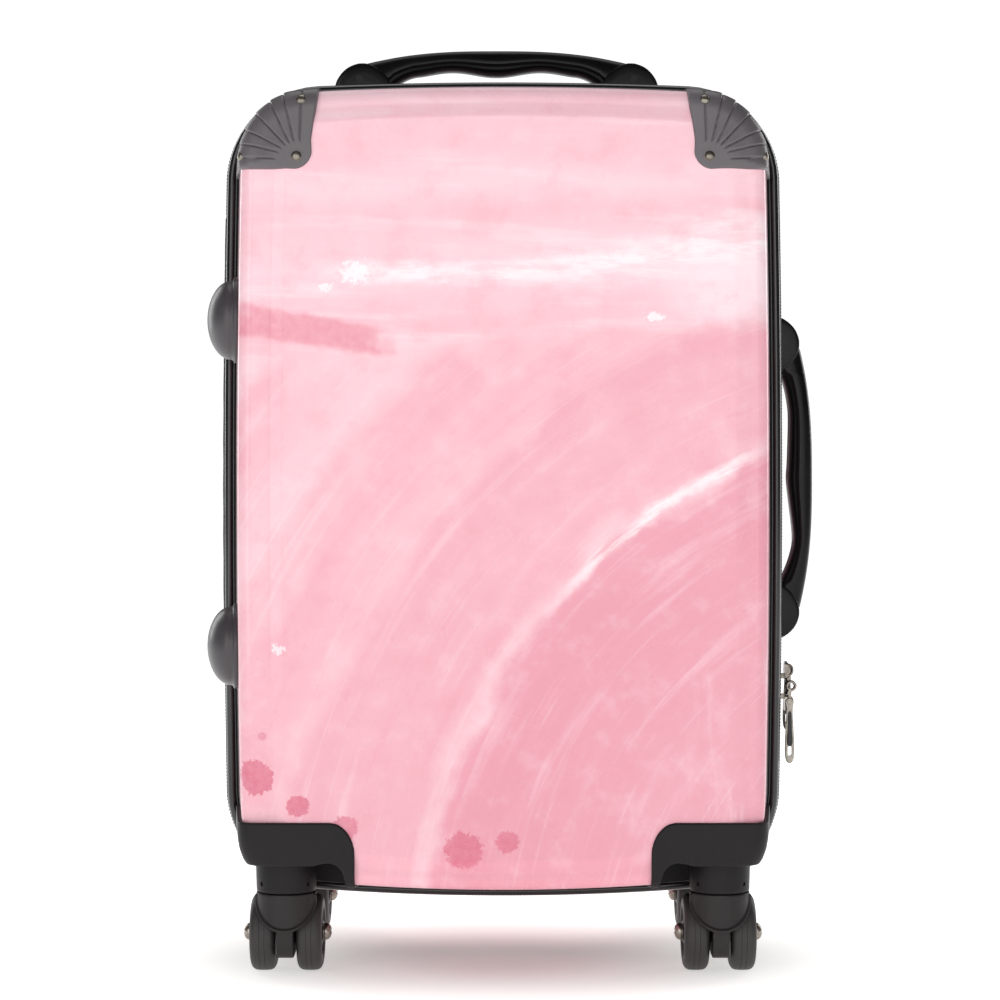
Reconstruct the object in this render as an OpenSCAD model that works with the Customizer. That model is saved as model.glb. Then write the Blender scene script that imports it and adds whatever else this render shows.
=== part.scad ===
// Hard shell cabin suitcase on four twin-wheel swivel casters.
// Frame: origin on the floor at the centre of the overall box, +X to the right of the front face,
// front face towards -Y, +Z up. All sizes in millimetres.

/* [Shell] */
// Half width of each shell at the rim, before the sides bow out
shell_a = 160; // [150:1:170]
// Half height of each shell at the rim, before the ends bow out
shell_b = 233.65; // [225:0.05:245]
// Corner radius of the shell at the rim
shell_r = 48; // [40:1:56]
// Height of the shell's centre above the floor
shell_zc = 283.65; // [276:0.05:292]
// Depth of each shell from the zip line to its flat face
shell_depth = 105; // [100:1:112]
// Radius of the edge between the side walls and the flat face
edge_r = 9; // [7:0.5:11]
// Thickness of the moulded shell
wall = 2; // [1.6:0.1:2.4]
// Inward slope of the side walls per millimetre of depth
draft = 0.116; // [0.09:0.001:0.13]
// How far the long sides bow out
bow_side = 3; // [1:0.5:4]
// How far the top bows up
bow_top = 5; // [2:0.5:6]
// How far the bottom bows down
bow_bottom = 9; // [5:0.5:10]

/* [Casters] */
// Distance of the front swivels from the centre line
swivel_x_front = 126; // [122:1:128]
// Distance of the rear swivels from the centre line
swivel_x_rear = 132; // [128:1:134]
// Distance of each swivel from the zip line
swivel_y = 71; // [70:1:74]
// Wheel radius
wheel_r = 22.3; // [20:0.1:23]
// Wheel width
wheel_w = 16.1; // [14:0.1:17]
// Distance of the axle behind the swivel axis
trail = 10; // [8:0.5:12]

/* [Carry handles] */
// Length of a carry handle
handle_len = 196; // [180:1:200]
// Width of a carry handle's grip
grip_w = 20.4; // [18:0.2:22]
// How far a carry handle lifts out of its brackets
handle_lift = 10; // [6:1:10]

/* [Telescopic handle] */
// Distance of each tube from the centre line
tube_x = 72; // [66:1:78]
// Distance of the tubes behind the zip line
tube_y = 85; // [84:0.5:86]
// Travel of each of the two stages
stage_travel = 240; // [200:5:260]

/* [Zip] */
// Half the gap between the two rows of teeth
zip_gap = 0.8; // [0.7:0.1:1]
// Height of the lower end of the side hinge strip
hinge_z0 = 165; // [160:1:170]
// Height of the upper end of the side hinge strip
hinge_z1 = 448; // [440:1:455]

/* [Hidden] */

// The body's centre line sits left of the box centre, because the side handle stands proud on the right.
body_x = -9;
// Segments in each corner, and points along the long and short sides, of every rim outline.
n_corner = 6;
n_long = 5;
n_short = 3;
edge_y = shell_depth - edge_r;
handle_y = 33;
handle_x0 = -4;
top_z = 554.6;
side_x = 192.6;
side_z = 288.7;
rim_y = 9;
black = [0.09, 0.09, 0.10];

// ---------- outline of the shells ----------
function outline(a, b, r) = concat(
  [for (i = [0:n_corner]) let (t = 90 * i / n_corner) [a - r + r * cos(t), b - r + r * sin(t)]],
  [for (i = [1:n_short]) let (f = i / (n_short + 1)) [(a - r) * (1 - 2 * f), b]],
  [for (i = [0:n_corner]) let (t = 90 + 90 * i / n_corner) [-(a - r) + r * cos(t), b - r + r * sin(t)]],
  [for (i = [1:n_long]) let (f = i / (n_long + 1)) [-a, (b - r) * (1 - 2 * f)]],
  [for (i = [0:n_corner]) let (t = 180 + 90 * i / n_corner) [-(a - r) + r * cos(t), -(b - r) + r * sin(t)]],
  [for (i = [1:n_short]) let (f = i / (n_short + 1)) [-(a - r) * (1 - 2 * f), -b]],
  [for (i = [0:n_corner]) let (t = 270 + 90 * i / n_corner) [a - r + r * cos(t), -(b - r) + r * sin(t)]],
  [for (i = [1:n_long]) let (f = i / (n_long + 1)) [a, -(b - r) * (1 - 2 * f)]]);
function bowed(p, a, b) = [
  p[0] + sign(p[0]) * bow_side * (1 - pow(p[1] / b, 2)),
  p[1] + (p[1] > 0 ? bow_top : -bow_bottom) * (1 - pow(p[0] / a, 2))];
// One rim outline, moved out by o and set at depth y.
function ring(o, y) = let (a = shell_a + o, b = shell_b + o, r = max(shell_r + o, 6))
  [for (p = outline(a, b, r)) let (q = bowed(p, a, b)) [q[0], y, q[1] + shell_zc]];
// Side profile of the shell's outside moved out by off: [offset, y] from the rim to the face.
function profile(off, y0) = concat(
  [[off - draft * y0, -y0]],
  [for (t = [0:30:90]) [-draft * edge_y - edge_r + (edge_r + off) * cos(t), -(edge_y + (edge_r + off) * sin(t))]]);
// Height of the top wall and the half width of the side wall at a point, on the outside.
function wall_top(x, y) = shell_zc + shell_b - draft * y + bow_top * (1 - pow(x / (shell_a - draft * y), 2));
function wall_side(y, z) = shell_a - draft * y + bow_side * (1 - pow((z - shell_zc) / (shell_b - draft * y), 2));

module loft(rings, closed = false) {
  n = len(rings[0]);
  m = len(rings);
  polyhedron(
    points = [for (r = rings) each r],
    faces = concat(
      [for (i = [0:m - (closed ? 1 : 2)], j = [0:n - 1]) let (i2 = (i + 1) % m, j2 = (j + 1) % n)
        each [[i * n + j, i2 * n + j, i2 * n + j2], [i * n + j, i2 * n + j2, i * n + j2]]],
      closed ? [] : [[for (j = [0:n - 1]) j], [for (j = [n - 1:-1:0]) (m - 1) * n + j]]));
}
// Solid front half body, moved out by off, starting y0 in front of the zip line.
module half_body(off, y0 = 0) loft([for (p = profile(off, y0)) ring(p[0], p[1])]);
// A band that runs right round the rim with the given [offset, y] section.
module band(section) loft([for (p = section) ring(p[0], p[1])], closed = true);
// Curved walls are cut as one mesh.
module cut() resize([0, 0, 0]) children();
module to_rear() mirror([0, 1, 0]) children();
module to_right() mirror([1, 0, 0]) children();
function rr(w, h, r, n = 4) = [for (q = [[1, 1, 0], [-1, 1, 90], [-1, -1, 180], [1, -1, 270]], i = [0:n])
  [q[0] * (w / 2 - r) + r * cos(q[2] + 90 * i / n), q[1] * (h / 2 - r) + r * sin(q[2] + 90 * i / n)]];
module rbox(w, d, h, r, n = 4) linear_extrude(h) polygon(rr(w, d, r, n));

// ---------- caster pocket and its housing ----------
// Space cut out of a lower left corner for a caster, grown by g.
module pocket(sx, g = 0) translate([-260, -260, -20]) cube([260 - (sx - 34) + g, 260 - 30 + g, 86 + g]);
// Outline of the part of the corner that the housing laps over.
module lap() translate([-260, -260, -20]) {
  cube([260 - 98, 260 - 19.5, 111.5]);
  cube([260 - 84, 260 - 19.5, 97.5]);
  translate([260 - 98, 0, 97.5]) rotate([-90, 0, 0]) cylinder(r = 14, h = 260 - 19.5, $fn = 32);
}
module housing(sx) color(black) cut() {
  difference() {
    union() {
      intersection() {
        difference() { half_body(2.2, 2); half_body(0.2, 0); }
        lap();
      }
      intersection() {
        half_body(2.2, 2);
        difference() { pocket(sx, 2.5); pocket(sx, 0); }
        translate([-300, -300, 0]) cube([300, 300 - 27.5, 200]);
      }
      intersection() {
        translate([-sx, -swivel_y, 48]) cylinder(r = 17.6, h = 20, $fn = 48);
        translate([-260, -260, 0]) cube([260, 260, 68]);
      }
    }
    difference() { pocket(sx, 0); translate([-sx, -swivel_y, 40]) cylinder(r = 17.6, h = 40, $fn = 48); }
    translate([-sx, -swivel_y, 40]) cylinder(r = 3.1, h = 22.1, $fn = 24);
  }
}
module swivel_pin(sx) translate([-sx, -swivel_y, 40]) cylinder(r = 3, h = 22, $fn = 32);

// ---------- corner guards ----------
module guard_region() translate([-260, -160, 0]) {
  translate([0, 0, 463]) cube([260 - 116.5, 160 - 19.5, 100]);
  translate([0, 0, 471]) cube([260 - 108.5, 160 - 19.5, 100]);
  translate([260 - 116.5, 0, 471]) rotate([-90, 0, 0]) cylinder(r = 8, h = 160 - 19.5, $fn = 32);
}
module at_rivets() {
  translate([-117.2, -107, 470.3]) rotate([90, 0, 0]) children();
  translate([-115, -103.4, 506.2]) rotate([48, 0, 0]) children();
  translate([-148.2, -103.4, 471]) rotate([0, 0, 0]) rotate([90, 0, 0]) rotate([0, -42, 0]) children();
}
module corner_guard() color([0.22, 0.22, 0.23]) cut() difference() {
  half_body(2, 2);
  half_body(0.2, 0);
  difference() { translate([-400, -400, -400]) cube(1200); guard_region(); }
  at_rivets() translate([0, 0, -8]) cylinder(r = 1.7, h = 12, $fn = 12);
}
module rivet() color("silver") rotate_extrude($fn = 32) polygon([[0, -5.5], [1.5, -5.5], [1.5, 0.45], [3, 0.45], [2.7, 1.2], [1.7, 1.8], [0, 2.0]]);

// ---------- shells, trims, linings ----------
module shell_blank(sx) difference() {
  half_body(0, rim_y);
  half_body(-wall, 0);
  pocket(sx, 2.7);
  to_right() pocket(sx, 2.7);
  at_rivets() translate([0, 0, -8]) cylinder(r = 1.7, h = 12, $fn = 12);
  to_right() at_rivets() translate([0, 0, -8]) cylinder(r = 1.7, h = 12, $fn = 12);
}
module trim_section() band([[5.5, -8.2], [5.5, -16.5], [4.4, -17.8], [0.2 - draft * 17.8, -17.8], [0.2 - draft * 9, -8.8],
  [-wall - 0.2 - draft * 9, -8.8], [-wall - 0.2 - draft * 16, -16], [-wall - 2.2 - draft * 16, -16], [-wall - 2.2, -7.2], [4.5, -7.2]]);
module zip_section() band([[8.5, -zip_gap], [8.5, -2.9], [5.5, -2.9], [5.5, -7.1], [4.5, -7.1], [4.5, -zip_gap]]);
module hinge_window(g) translate([-300, -40, hinge_z0 - g]) cube([200, 80, hinge_z1 - hinge_z0 + 2 * g]);
module zip_tape() color("black") cut() difference() { zip_section(); hinge_window(0.5); }
module hinge_strip() color([0.12, 0.12, 0.13]) cut() intersection() {
  band([[6.4, -0.3], [6.4, -7.1], [4.4, -7.1], [4.4, -0.3]]);
  hinge_window(0);
}
module lining_blank(sx) difference() {
  half_body(-4.6, rim_y + 0.5);
  pocket(sx, 3.2);
  to_right() pocket(sx, 3.2);
  difference() {
    half_body(-5.4, 0);
    pocket(sx, 4);
    to_right() pocket(sx, 4);
  }
}

// ---------- side feet ----------
module foot() {
  rotate([0, -90, 0]) {
    cylinder(r = 25.3, h = 2, $fn = 64);
    intersection() {
      translate([0, 0, 17.5 - 26.3]) sphere(r = 26.3, $fn = 64);
      translate([0, 0, 2]) cylinder(r = 30, h = 20, $fn = 64);
    }
  }
}
module side_feet() color(black) for (z = [381, 189])
  translate([-wall_side(50, z) - 0.4, -50, z]) rotate([0, 0, atan(draft)]) foot();

// ---------- casters ----------
module fork() color(black) difference() {
  union() {
    translate([0, 0, 43.5]) cylinder(r = 17.5, h = 4, $fn = 48);
    intersection() {
      translate([0, 0, 20]) cylinder(r = 17.5, h = 24, $fn = 48);
      translate([0, 20, 43]) rotate([90, 0, 0]) cylinder(r = 17.4, h = 40, $fn = 48);
      translate([-20, -20, 20]) cube([40, 24, 24]);
    }
    translate([-4.8, 0, 0]) rotate([90, 0, 90]) linear_extrude(9.6)
      polygon([[-16.8, 44], [-16.5, 32], [-15, 20], [-12, 12], [-8, 10], [6, 10], [18, 14], [24, 22], [22, 32], [14, 40], [10, 44]]);
  }
  for (s = [-1, 1]) translate([s * 20.2, trail, wheel_r]) rotate([0, 90, 0]) cylinder(r = wheel_r + 1.1, h = 30, center = true, $fn = 64);
  translate([0, 0, 39.5]) cylinder(r = 3.05, h = 10, $fn = 32);
  translate([-6, trail, wheel_r]) rotate([0, 90, 0]) cylinder(r = 2.5, h = 12, $fn = 32);
}
module axle() color("silver") translate([0, trail, wheel_r]) rotate([0, 90, 0]) {
  translate([0, 0, -21.9]) cylinder(r = 2.5, h = 43.8, $fn = 32);
  for (s = [0, 180]) rotate([s, 0, 0]) rotate_extrude($fn = 32) polygon([[0, 21.9], [5, 21.9], [5, 23.6], [4.2, 25.1], [2.4, 25.8], [0, 25.8]]);
}
// Twin wheel on side s: a hub and a tyre.
module wheel(s) translate([s * (5.6 + wheel_w / 2), trail, wheel_r]) rotate([0, 90, 0]) {
  color([0.16, 0.16, 0.17]) difference() {
    cylinder(r = 14.5, h = wheel_w - 0.6, center = true, $fn = 48);
    cylinder(r = 2.55, h = 40, center = true, $fn = 32);
  }
  color(black) rotate_extrude($fn = 64) let (w = wheel_w / 2)
    polygon([[14.6, -w], [wheel_r - 3.6, -w], [wheel_r - 1.3, -w + 1.1], [wheel_r - 0.3, -w + 2.9], [wheel_r, -w + 5],
      [wheel_r, w - 5], [wheel_r - 0.3, w - 2.9], [wheel_r - 1.3, w - 1.1], [wheel_r - 3.6, w], [14.6, w]]);
}
module at_caster(sx, sy) translate([sx, sy, 0]) children();

// ---------- carry handles: local x along the handle, local z outwards, z = 0 at the crown ----------
// Outer edge of the grip and its wavy finger side.
function crown(x) = -x * x / 740;
function finger(x) = -16 + 3.2 * pow(sin(min(abs(x), 52) * 180 / 104 * 1.9), 2) - (abs(x) > 50 ? pow((abs(x) - 50) / 4.2, 1.6) : 0);
grip_profile = concat(
  [for (x = [-88:8:88]) [x, crown(x)]], [[96, -14], [98, -18], [98, -31.5], [72, -31.5], [66, -26]],
  [for (x = [56:-8:-56]) [x, finger(x)]], [[-66, -26], [-72, -31.5], [-98, -31.5], [-98, -18], [-96, -14]]);
pin_u = 85;
pin_v = -18.6;
module grip() color(black) difference() {
  translate([0, grip_w / 2, 0]) rotate([90, 0, 0]) linear_extrude(grip_w) polygon(grip_profile);
  for (s = [-1, 1]) translate([s * pin_u, 0, pin_v]) rotate([90, 0, 0]) {
    cylinder(r = 2.2, h = 40, center = true, $fn = 24);
    translate([0, -handle_lift, 0]) cylinder(r = 2.2, h = 40, center = true, $fn = 24);
    translate([-2.2, -handle_lift, -20]) cube([4.4, handle_lift, 40]);
  }
}
// Two cheeks and a foot either side of each end of the grip.
cheek = [[64, -40], [65.5, -27], [72, -14.5], [78, -10.2], [84, -11], [94, -16.5], [96.5, -21], [97.5, -40]];
module bracket_blank(s) mirror([s < 0 ? 1 : 0, 0, 0]) difference() {
  union() {
    for (t = [-1, 1]) translate([0, t * (grip_w / 2 + 1.6), 0]) rotate([90, 0, 0]) linear_extrude(2.4, center = true) polygon(cheek);
    translate([64, -grip_w / 2 - 2.8, -40]) cube([37, grip_w + 5.6, 8]);
  }
  translate([pin_u, 0, pin_v]) rotate([90, 0, 0]) cylinder(r = 2.1, h = 40, center = true, $fn = 24);
  for (x = [70, 94]) translate([x, 0, -50]) cylinder(r = 2, h = 17.2, $fn = 16);
}
module handle_pin_pair() color("silver") for (s = [-1, 1]) translate([s * pin_u, 0, pin_v]) rotate([90, 0, 0])
  cylinder(r = 2, h = grip_w + 5.6, center = true, $fn = 24);
module at_top_handle() translate([handle_x0, handle_y, top_z]) children();
module at_side_handle() translate([side_x, handle_y, side_z]) rotate([0, 90, 0]) children();
module screw(len) { cylinder(r = 1.9, h = len, $fn = 24); translate([0, 0, -1]) cylinder(r = 3, h = 1, $fn = 24); }

// ---------- telescopic handle ----------
module tube(w, d, t, z0, z1) for (s = [-1, 1]) translate([s * tube_x, tube_y, z0]) difference() {
  rbox(w, d, z1 - z0, 3);
  translate([0, 0, -1]) rbox(w - 2 * t, d - 2 * t, z1 - z0 + 2, 3 - t);
}

// ---------- zip sliders: local z towards the nose, local x outwards, origin on the teeth ----------
zip_x = shell_a + 2.17 + 6.5;
module slider() color("silver") {
  difference() {
    union() {
      // outer and inner wings with the post that parts the teeth
      translate([3, -4.5, -5.5]) cube([2.2, 9, 11]);
      translate([-5.4, -4.5, -5.5]) cube([2, 9, 11]);
      translate([-4, -0.6, 1.5]) cube([8, 1.2, 3.6]);
      // loop lug for the pull and the padlock eye at the nose
      translate([5, 1, -3]) cube([1.9, 3.4, 6]);
      translate([5.6, 2.7, 0]) rotate([90, 0, 0]) cylinder(r = 2.6, h = 3.4, center = true, $fn = 32);
      translate([7.2, 1.2, 9.5]) rotate([90, 0, 0]) cylinder(r = 3.4, h = 2.1, center = true, $fn = 32);
      translate([5, 0.15, 3]) cube([3, 2.1, 5]);
    }
    translate([7.2, 0, 9.5]) rotate([90, 0, 0]) cylinder(r = 1.6, h = 20, center = true, $fn = 32);
  }
  translate([5.6, 4.4, 0]) rotate([-90, 0, 0]) cylinder(r = 1, h = 3.1, $fn = 24);
}
module pull() color([0.35, 0.34, 0.33]) difference() {
  rotate([90, 0, 0]) linear_extrude(2.2, center = true) union() {
    circle(r = 2.5, $fn = 32);
    polygon([[-1.6, -1.5], [-2.2, -8], [-2.6, -20], [-2.8, -30], [-2.2, -35], [-1, -37], [1, -37], [2.2, -35], [2.8, -30], [2.6, -20], [2.2, -8], [1.6, -1.5]]);
  }
  rotate([90, 0, 0]) cylinder(r = 1.05, h = 10, center = true, $fn = 24);
  translate([-1.2, -5, -33]) cube([2.4, 10, 6]);
}
slider_up_z = 171;
slider_low_z = 152;

// ---------- nodes, in body coordinates ----------
module front_shell() color([0.96, 0.72, 0.78]) cut() shell_blank(swivel_x_front);
module front_lining() color([0.25, 0.25, 0.27]) cut() lining_blank(swivel_x_front);
module front_guard_rivets() { at_rivets() rivet(); to_right() at_rivets() rivet(); }
module rear_guards() { to_rear() corner_guard(); to_right() to_rear() corner_guard(); }
module bezel_block(g, z0, z1) translate([0, tube_y, z0]) rbox(190 + 2 * g, 30 + 2 * g, z1 - z0, 8 + g);
module screw_spots(r, h) {
  for (u = [-94, -70, 70, 94]) {
    translate([handle_x0 + u, handle_y, 500]) cylinder(r = r, h = h, $fn = 16);
    translate([140, handle_y, side_z + u]) rotate([0, 90, 0]) cylinder(r = r, h = h, $fn = 16);
  }
}
module rear_shell() color([0.96, 0.72, 0.78]) cut() difference() {
  to_rear() shell_blank(swivel_x_rear);
  bezel_block(0.2, 480, 560);
  screw_spots(2.1, 40);
}
module rear_lining() color([0.25, 0.25, 0.27]) cut() difference() {
  to_rear() lining_blank(swivel_x_rear);
  translate([-300, 66.5, -10]) cube([600, 100, 700]);
}
module rear_back_panel() color([0.25, 0.25, 0.27]) cut() difference() {
  intersection() {
    to_rear() half_body(-5.7, 0);
    translate([-300, 66.8, 0]) cube([600, 1.6, 700]);
  }
  to_rear() pocket(swivel_x_rear, 4.2);
  to_right() to_rear() pocket(swivel_x_rear, 4.2);
}
module packing_straps() color([0.1, 0.1, 0.1]) cut() intersection() {
  to_rear() half_body(-5.7, 0);
  translate([0, 64.8, shell_zc]) for (a = [48, 132, 228, 312]) rotate([0, -a, 0]) translate([23, 0, -12.5]) cube([230, 1.2, 25]);
  difference() {
    translate([-300, 0, 0]) cube([600, 90, 700]);
    translate([-22.2, 0, shell_zc - 22.2]) cube([44.4, 90, 44.4]);
  }
}
module strap_buckle() color(black) translate([0, 60.7, shell_zc]) rotate([-90, 0, 0]) rbox(44, 44, 6, 6);
module top_handle_brackets() color(black) cut() difference() {
  at_top_handle() { bracket_blank(1); bracket_blank(-1); }
  to_rear() half_body(0.25, 0);
}
module side_handle_brackets() color(black) cut() difference() {
  at_side_handle() { bracket_blank(1); bracket_blank(-1); }
  to_rear() half_body(0.25, 0);
}
module handle_screws() color("silver") for (u = [-94, -70, 70, 94]) {
  translate([handle_x0 + u, handle_y, wall_top(handle_x0 + u, handle_y) - wall - 0.9]) screw(6.5);
  translate([wall_side(handle_y, side_z + u) - wall - 0.9, handle_y, side_z + u]) rotate([0, 90, 0]) screw(3.5);
}
module trolley_bezel() color(black) difference() {
  bezel_block(0, 490, 517.5);
  translate([0, tube_y, 493]) rbox(184, 24, 60, 6);
  for (s = [-1, 1]) translate([s * tube_x, tube_y, 480]) rbox(18, 9, 60, 2);
}
module trolley_outer_tubes() color("silver") tube(20, 11, 1, 72, 489.9);
module trolley_base_bracket() color(black) translate([0, tube_y, 65.5]) rbox(176, 15, 6.4, 4);
module trolley_middle_tubes() color("silver") {
  tube(17.6, 8.6, 0.9, 80, 497);
  for (s = [-1, 1]) translate([s * tube_x, tube_y, 493.2]) difference() { rbox(21, 12, 3.8, 3); translate([0, 0, -1]) rbox(17, 8, 8, 2.5); }
}
module trolley_inner_tubes() color("silver") tube(15.4, 6.4, 0.9, 90, 497.3);
module trolley_grip() color(black) difference() {
  translate([0, tube_y, 497.3]) rbox(168, 22, 19.7, 7);
  translate([0, tube_y, 510.5]) rbox(44, 13, 20, 4);
}
module trolley_button() color([0.35, 0.35, 0.37]) translate([0, tube_y, 513.5]) rbox(43.4, 12.4, 5, 3.7);
module at_slider_up() translate([zip_x, 0, slider_up_z]) rotate([180, 0, 0]) mirror([0, 1, 0]) children();
module at_slider_low() translate([zip_x, 0, slider_low_z]) rotate([0, 0, 0]) mirror([0, 1, 0]) children();

module at_body() translate([body_x, 0, 0]) children();

at_body() {
  front_shell();
  color(black) trim_section();  // front_trim
  zip_tape();  // front_zip_tape
  hinge_strip();  // front_hinge_strip
  front_lining();
  corner_guard();  // front_corner_guard_left
  to_right() corner_guard();  // front_corner_guard_right
  front_guard_rivets();
  side_feet();  // front_side_feet
  housing(swivel_x_front);  // front_wheel_housing_left
  to_right() housing(swivel_x_front);  // front_wheel_housing_right
  color("silver") { swivel_pin(swivel_x_front); to_right() swivel_pin(swivel_x_front); }  // front_swivel_pins
  rear_shell();
  color(black) to_rear() trim_section();  // rear_trim
  to_rear() zip_tape();  // rear_zip_tape
  to_rear() hinge_strip();  // rear_hinge_strip
  rear_lining();
  rear_back_panel();
  rear_guards();  // rear_corner_guards
  to_rear() front_guard_rivets();  // rear_guard_rivets
  to_rear() side_feet();  // rear_side_feet
  to_rear() housing(swivel_x_rear);  // rear_wheel_housing_left
  to_right() to_rear() housing(swivel_x_rear);  // rear_wheel_housing_right
  color("silver") to_rear() { swivel_pin(swivel_x_rear); to_right() swivel_pin(swivel_x_rear); }  // rear_swivel_pins
  packing_straps();
  strap_buckle();
  top_handle_brackets();
  side_handle_brackets();
  union() { at_top_handle() handle_pin_pair(); at_side_handle() handle_pin_pair(); }  // handle_pins
  handle_screws();
  at_top_handle() grip();  // top_handle_grip
  at_side_handle() grip();  // side_handle_grip
  trolley_bezel();
  trolley_outer_tubes();
  trolley_base_bracket();
  trolley_middle_tubes();
  trolley_inner_tubes();
  trolley_grip();
  trolley_button();
  at_slider_up() slider();  // zip_slider_upper
  at_slider_low() slider();  // zip_slider_lower
  translate([zip_x + 5.6, 5.95, slider_up_z]) pull();  // zip_pull_upper
  translate([zip_x + 5.6, -5.95, slider_low_z]) pull();  // zip_pull_lower
  at_caster(-swivel_x_front, -swivel_y) fork();  // front_left_fork
  at_caster(-swivel_x_front, -swivel_y) axle();  // front_left_axle
  at_caster(-swivel_x_front, -swivel_y) wheel(-1);  // front_left_wheel_outer
  at_caster(-swivel_x_front, -swivel_y) wheel(1);  // front_left_wheel_inner
  at_caster(swivel_x_front, -swivel_y) fork();  // front_right_fork
  at_caster(swivel_x_front, -swivel_y) axle();  // front_right_axle
  at_caster(swivel_x_front, -swivel_y) wheel(1);  // front_right_wheel_outer
  at_caster(swivel_x_front, -swivel_y) wheel(-1);  // front_right_wheel_inner
  at_caster(-swivel_x_rear, swivel_y) fork();  // rear_left_fork
  at_caster(-swivel_x_rear, swivel_y) axle();  // rear_left_axle
  at_caster(-swivel_x_rear, swivel_y) wheel(-1);  // rear_left_wheel_outer
  at_caster(-swivel_x_rear, swivel_y) wheel(1);  // rear_left_wheel_inner
  at_caster(swivel_x_rear, swivel_y) fork();  // rear_right_fork
  at_caster(swivel_x_rear, swivel_y) axle();  // rear_right_axle
  at_caster(swivel_x_rear, swivel_y) wheel(1);  // rear_right_wheel_outer
  at_caster(swivel_x_rear, swivel_y) wheel(-1);  // rear_right_wheel_inner
}
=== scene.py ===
import math
import bpy
import bmesh
import numpy as np
from mathutils import Vector, Matrix


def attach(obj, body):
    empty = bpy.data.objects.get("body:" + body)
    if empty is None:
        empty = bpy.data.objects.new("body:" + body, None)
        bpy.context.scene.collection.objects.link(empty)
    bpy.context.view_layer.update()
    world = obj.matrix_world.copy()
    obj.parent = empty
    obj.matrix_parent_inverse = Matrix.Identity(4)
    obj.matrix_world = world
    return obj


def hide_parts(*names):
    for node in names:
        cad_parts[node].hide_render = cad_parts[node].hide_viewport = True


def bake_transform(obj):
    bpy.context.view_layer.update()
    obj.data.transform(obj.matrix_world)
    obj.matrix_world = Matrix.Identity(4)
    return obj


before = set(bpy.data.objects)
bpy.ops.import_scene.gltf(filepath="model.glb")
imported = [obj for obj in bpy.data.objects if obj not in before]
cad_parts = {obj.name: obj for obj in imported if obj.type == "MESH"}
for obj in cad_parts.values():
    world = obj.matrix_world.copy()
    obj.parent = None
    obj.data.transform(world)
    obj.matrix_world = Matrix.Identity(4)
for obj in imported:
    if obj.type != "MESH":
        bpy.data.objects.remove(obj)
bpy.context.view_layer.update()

# ------------------------------------------------------------------ sizes (mm, body coordinates)
BX = -9.0                                   # the body's centre line in the row frame
A0, B0, R0, ZC = 160.0, 233.65, 48.0, 283.65
DEPTH, EDGE, DRAFT = 105.0, 9.0, 0.116
EY = DEPTH - EDGE
BOW_S, BOW_T, BOW_B = 3.0, 5.0, 9.0
MX, MZ = A0 - R0, B0 - R0                   # rectangle that the corner radii are swung from
SXF, SXR, SY = 126.0, 132.0, 71.0
WR, WW, TRAIL = 22.3, 16.1, 10.0
HINGE_Z = (165.0, 448.0)
OC = -DRAFT * EY - EDGE                     # offset of the face edge of the corner fillet
COLL = bpy.context.scene.collection


# ------------------------------------------------------------------ mesh helpers
def metres(v):
    v = np.asarray(v, float)
    return (v + np.array([BX, 0.0, 0.0])) * 0.001


def mk(name, verts, faces, mat=None, sharp=35, body=True, recalc=True, merge=None):
    """A mesh object from vertices in millimetres. Faces are lists of indices, or (indices, material number)."""
    me = bpy.data.meshes.new(name)
    co = metres(verts) if body else np.asarray(verts, float) * 0.001
    tagged = bool(faces) and isinstance(faces[0], tuple) and isinstance(faces[0][0], (list, tuple))
    fl = [f[0] for f in faces] if tagged else faces
    me.from_pydata([tuple(c) for c in co], [], [tuple(int(i) for i in f) for f in fl])
    if tagged:
        for p, f in zip(me.polygons, faces):
            p.material_index = f[1]
    o = bpy.data.objects.new(name, me)
    COLL.objects.link(o)
    if mat is not None:
        for m in (mat if isinstance(mat, (list, tuple)) else [mat]):
            me.materials.append(m)
    tidy(o, sharp, recalc, merge)
    return o


def tidy(o, sharp=35, recalc=True, merge=None):
    bm = bmesh.new()
    bm.from_mesh(o.data)
    if merge:
        bmesh.ops.remove_doubles(bm, verts=bm.verts, dist=merge)
    if recalc:
        bmesh.ops.recalc_face_normals(bm, faces=bm.faces)
    lim = math.radians(sharp)
    for f in bm.faces:
        f.smooth = True
    for e in bm.edges:
        if len(e.link_faces) == 2 and e.calc_face_angle(0.0) > lim:
            e.smooth = False
    bm.to_mesh(o.data)
    bm.free()
    o.data.update()
    return o


def loft(rings, wrap=True, loop=False, cap0=False, cap1=False, base=0):
    """Vertices and faces through rings of equal length."""
    n, m = len(rings[0]), len(rings)
    v = np.concatenate([np.asarray(r, float) for r in rings])
    f = []
    for i in range(m if loop else m - 1):
        i2 = (i + 1) % m
        for j in range(n if wrap else n - 1):
            j2 = (j + 1) % n
            f.append([base + i * n + j, base + i2 * n + j, base + i2 * n + j2, base + i * n + j2])
    if cap0:
        f.append([base + j for j in range(n)][::-1])
    if cap1:
        f.append([base + (m - 1) * n + j for j in range(n)])
    return v, f


class Geo:
    """Collects parts of one mesh, each with a material number."""

    def __init__(self):
        self.v, self.f, self.n = [], [], 0

    def add(self, vf, mat=0, tf=None):
        v, f = vf
        v = np.asarray(v, float)
        if tf is not None:
            v = tf(v)
        self.v.append(v)
        self.f += [([i + self.n for i in q], mat) for q in f]
        self.n += len(v)
        return self

    def make(self, name, mat, **k):
        return mk(name, np.concatenate(self.v), self.f, mat, **k)


def frame_of(axis):
    a = Vector(axis).normalized()
    u = a.orthogonal().normalized()
    w = a.cross(u)
    return np.array(u), np.array(w), np.array(a)


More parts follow.
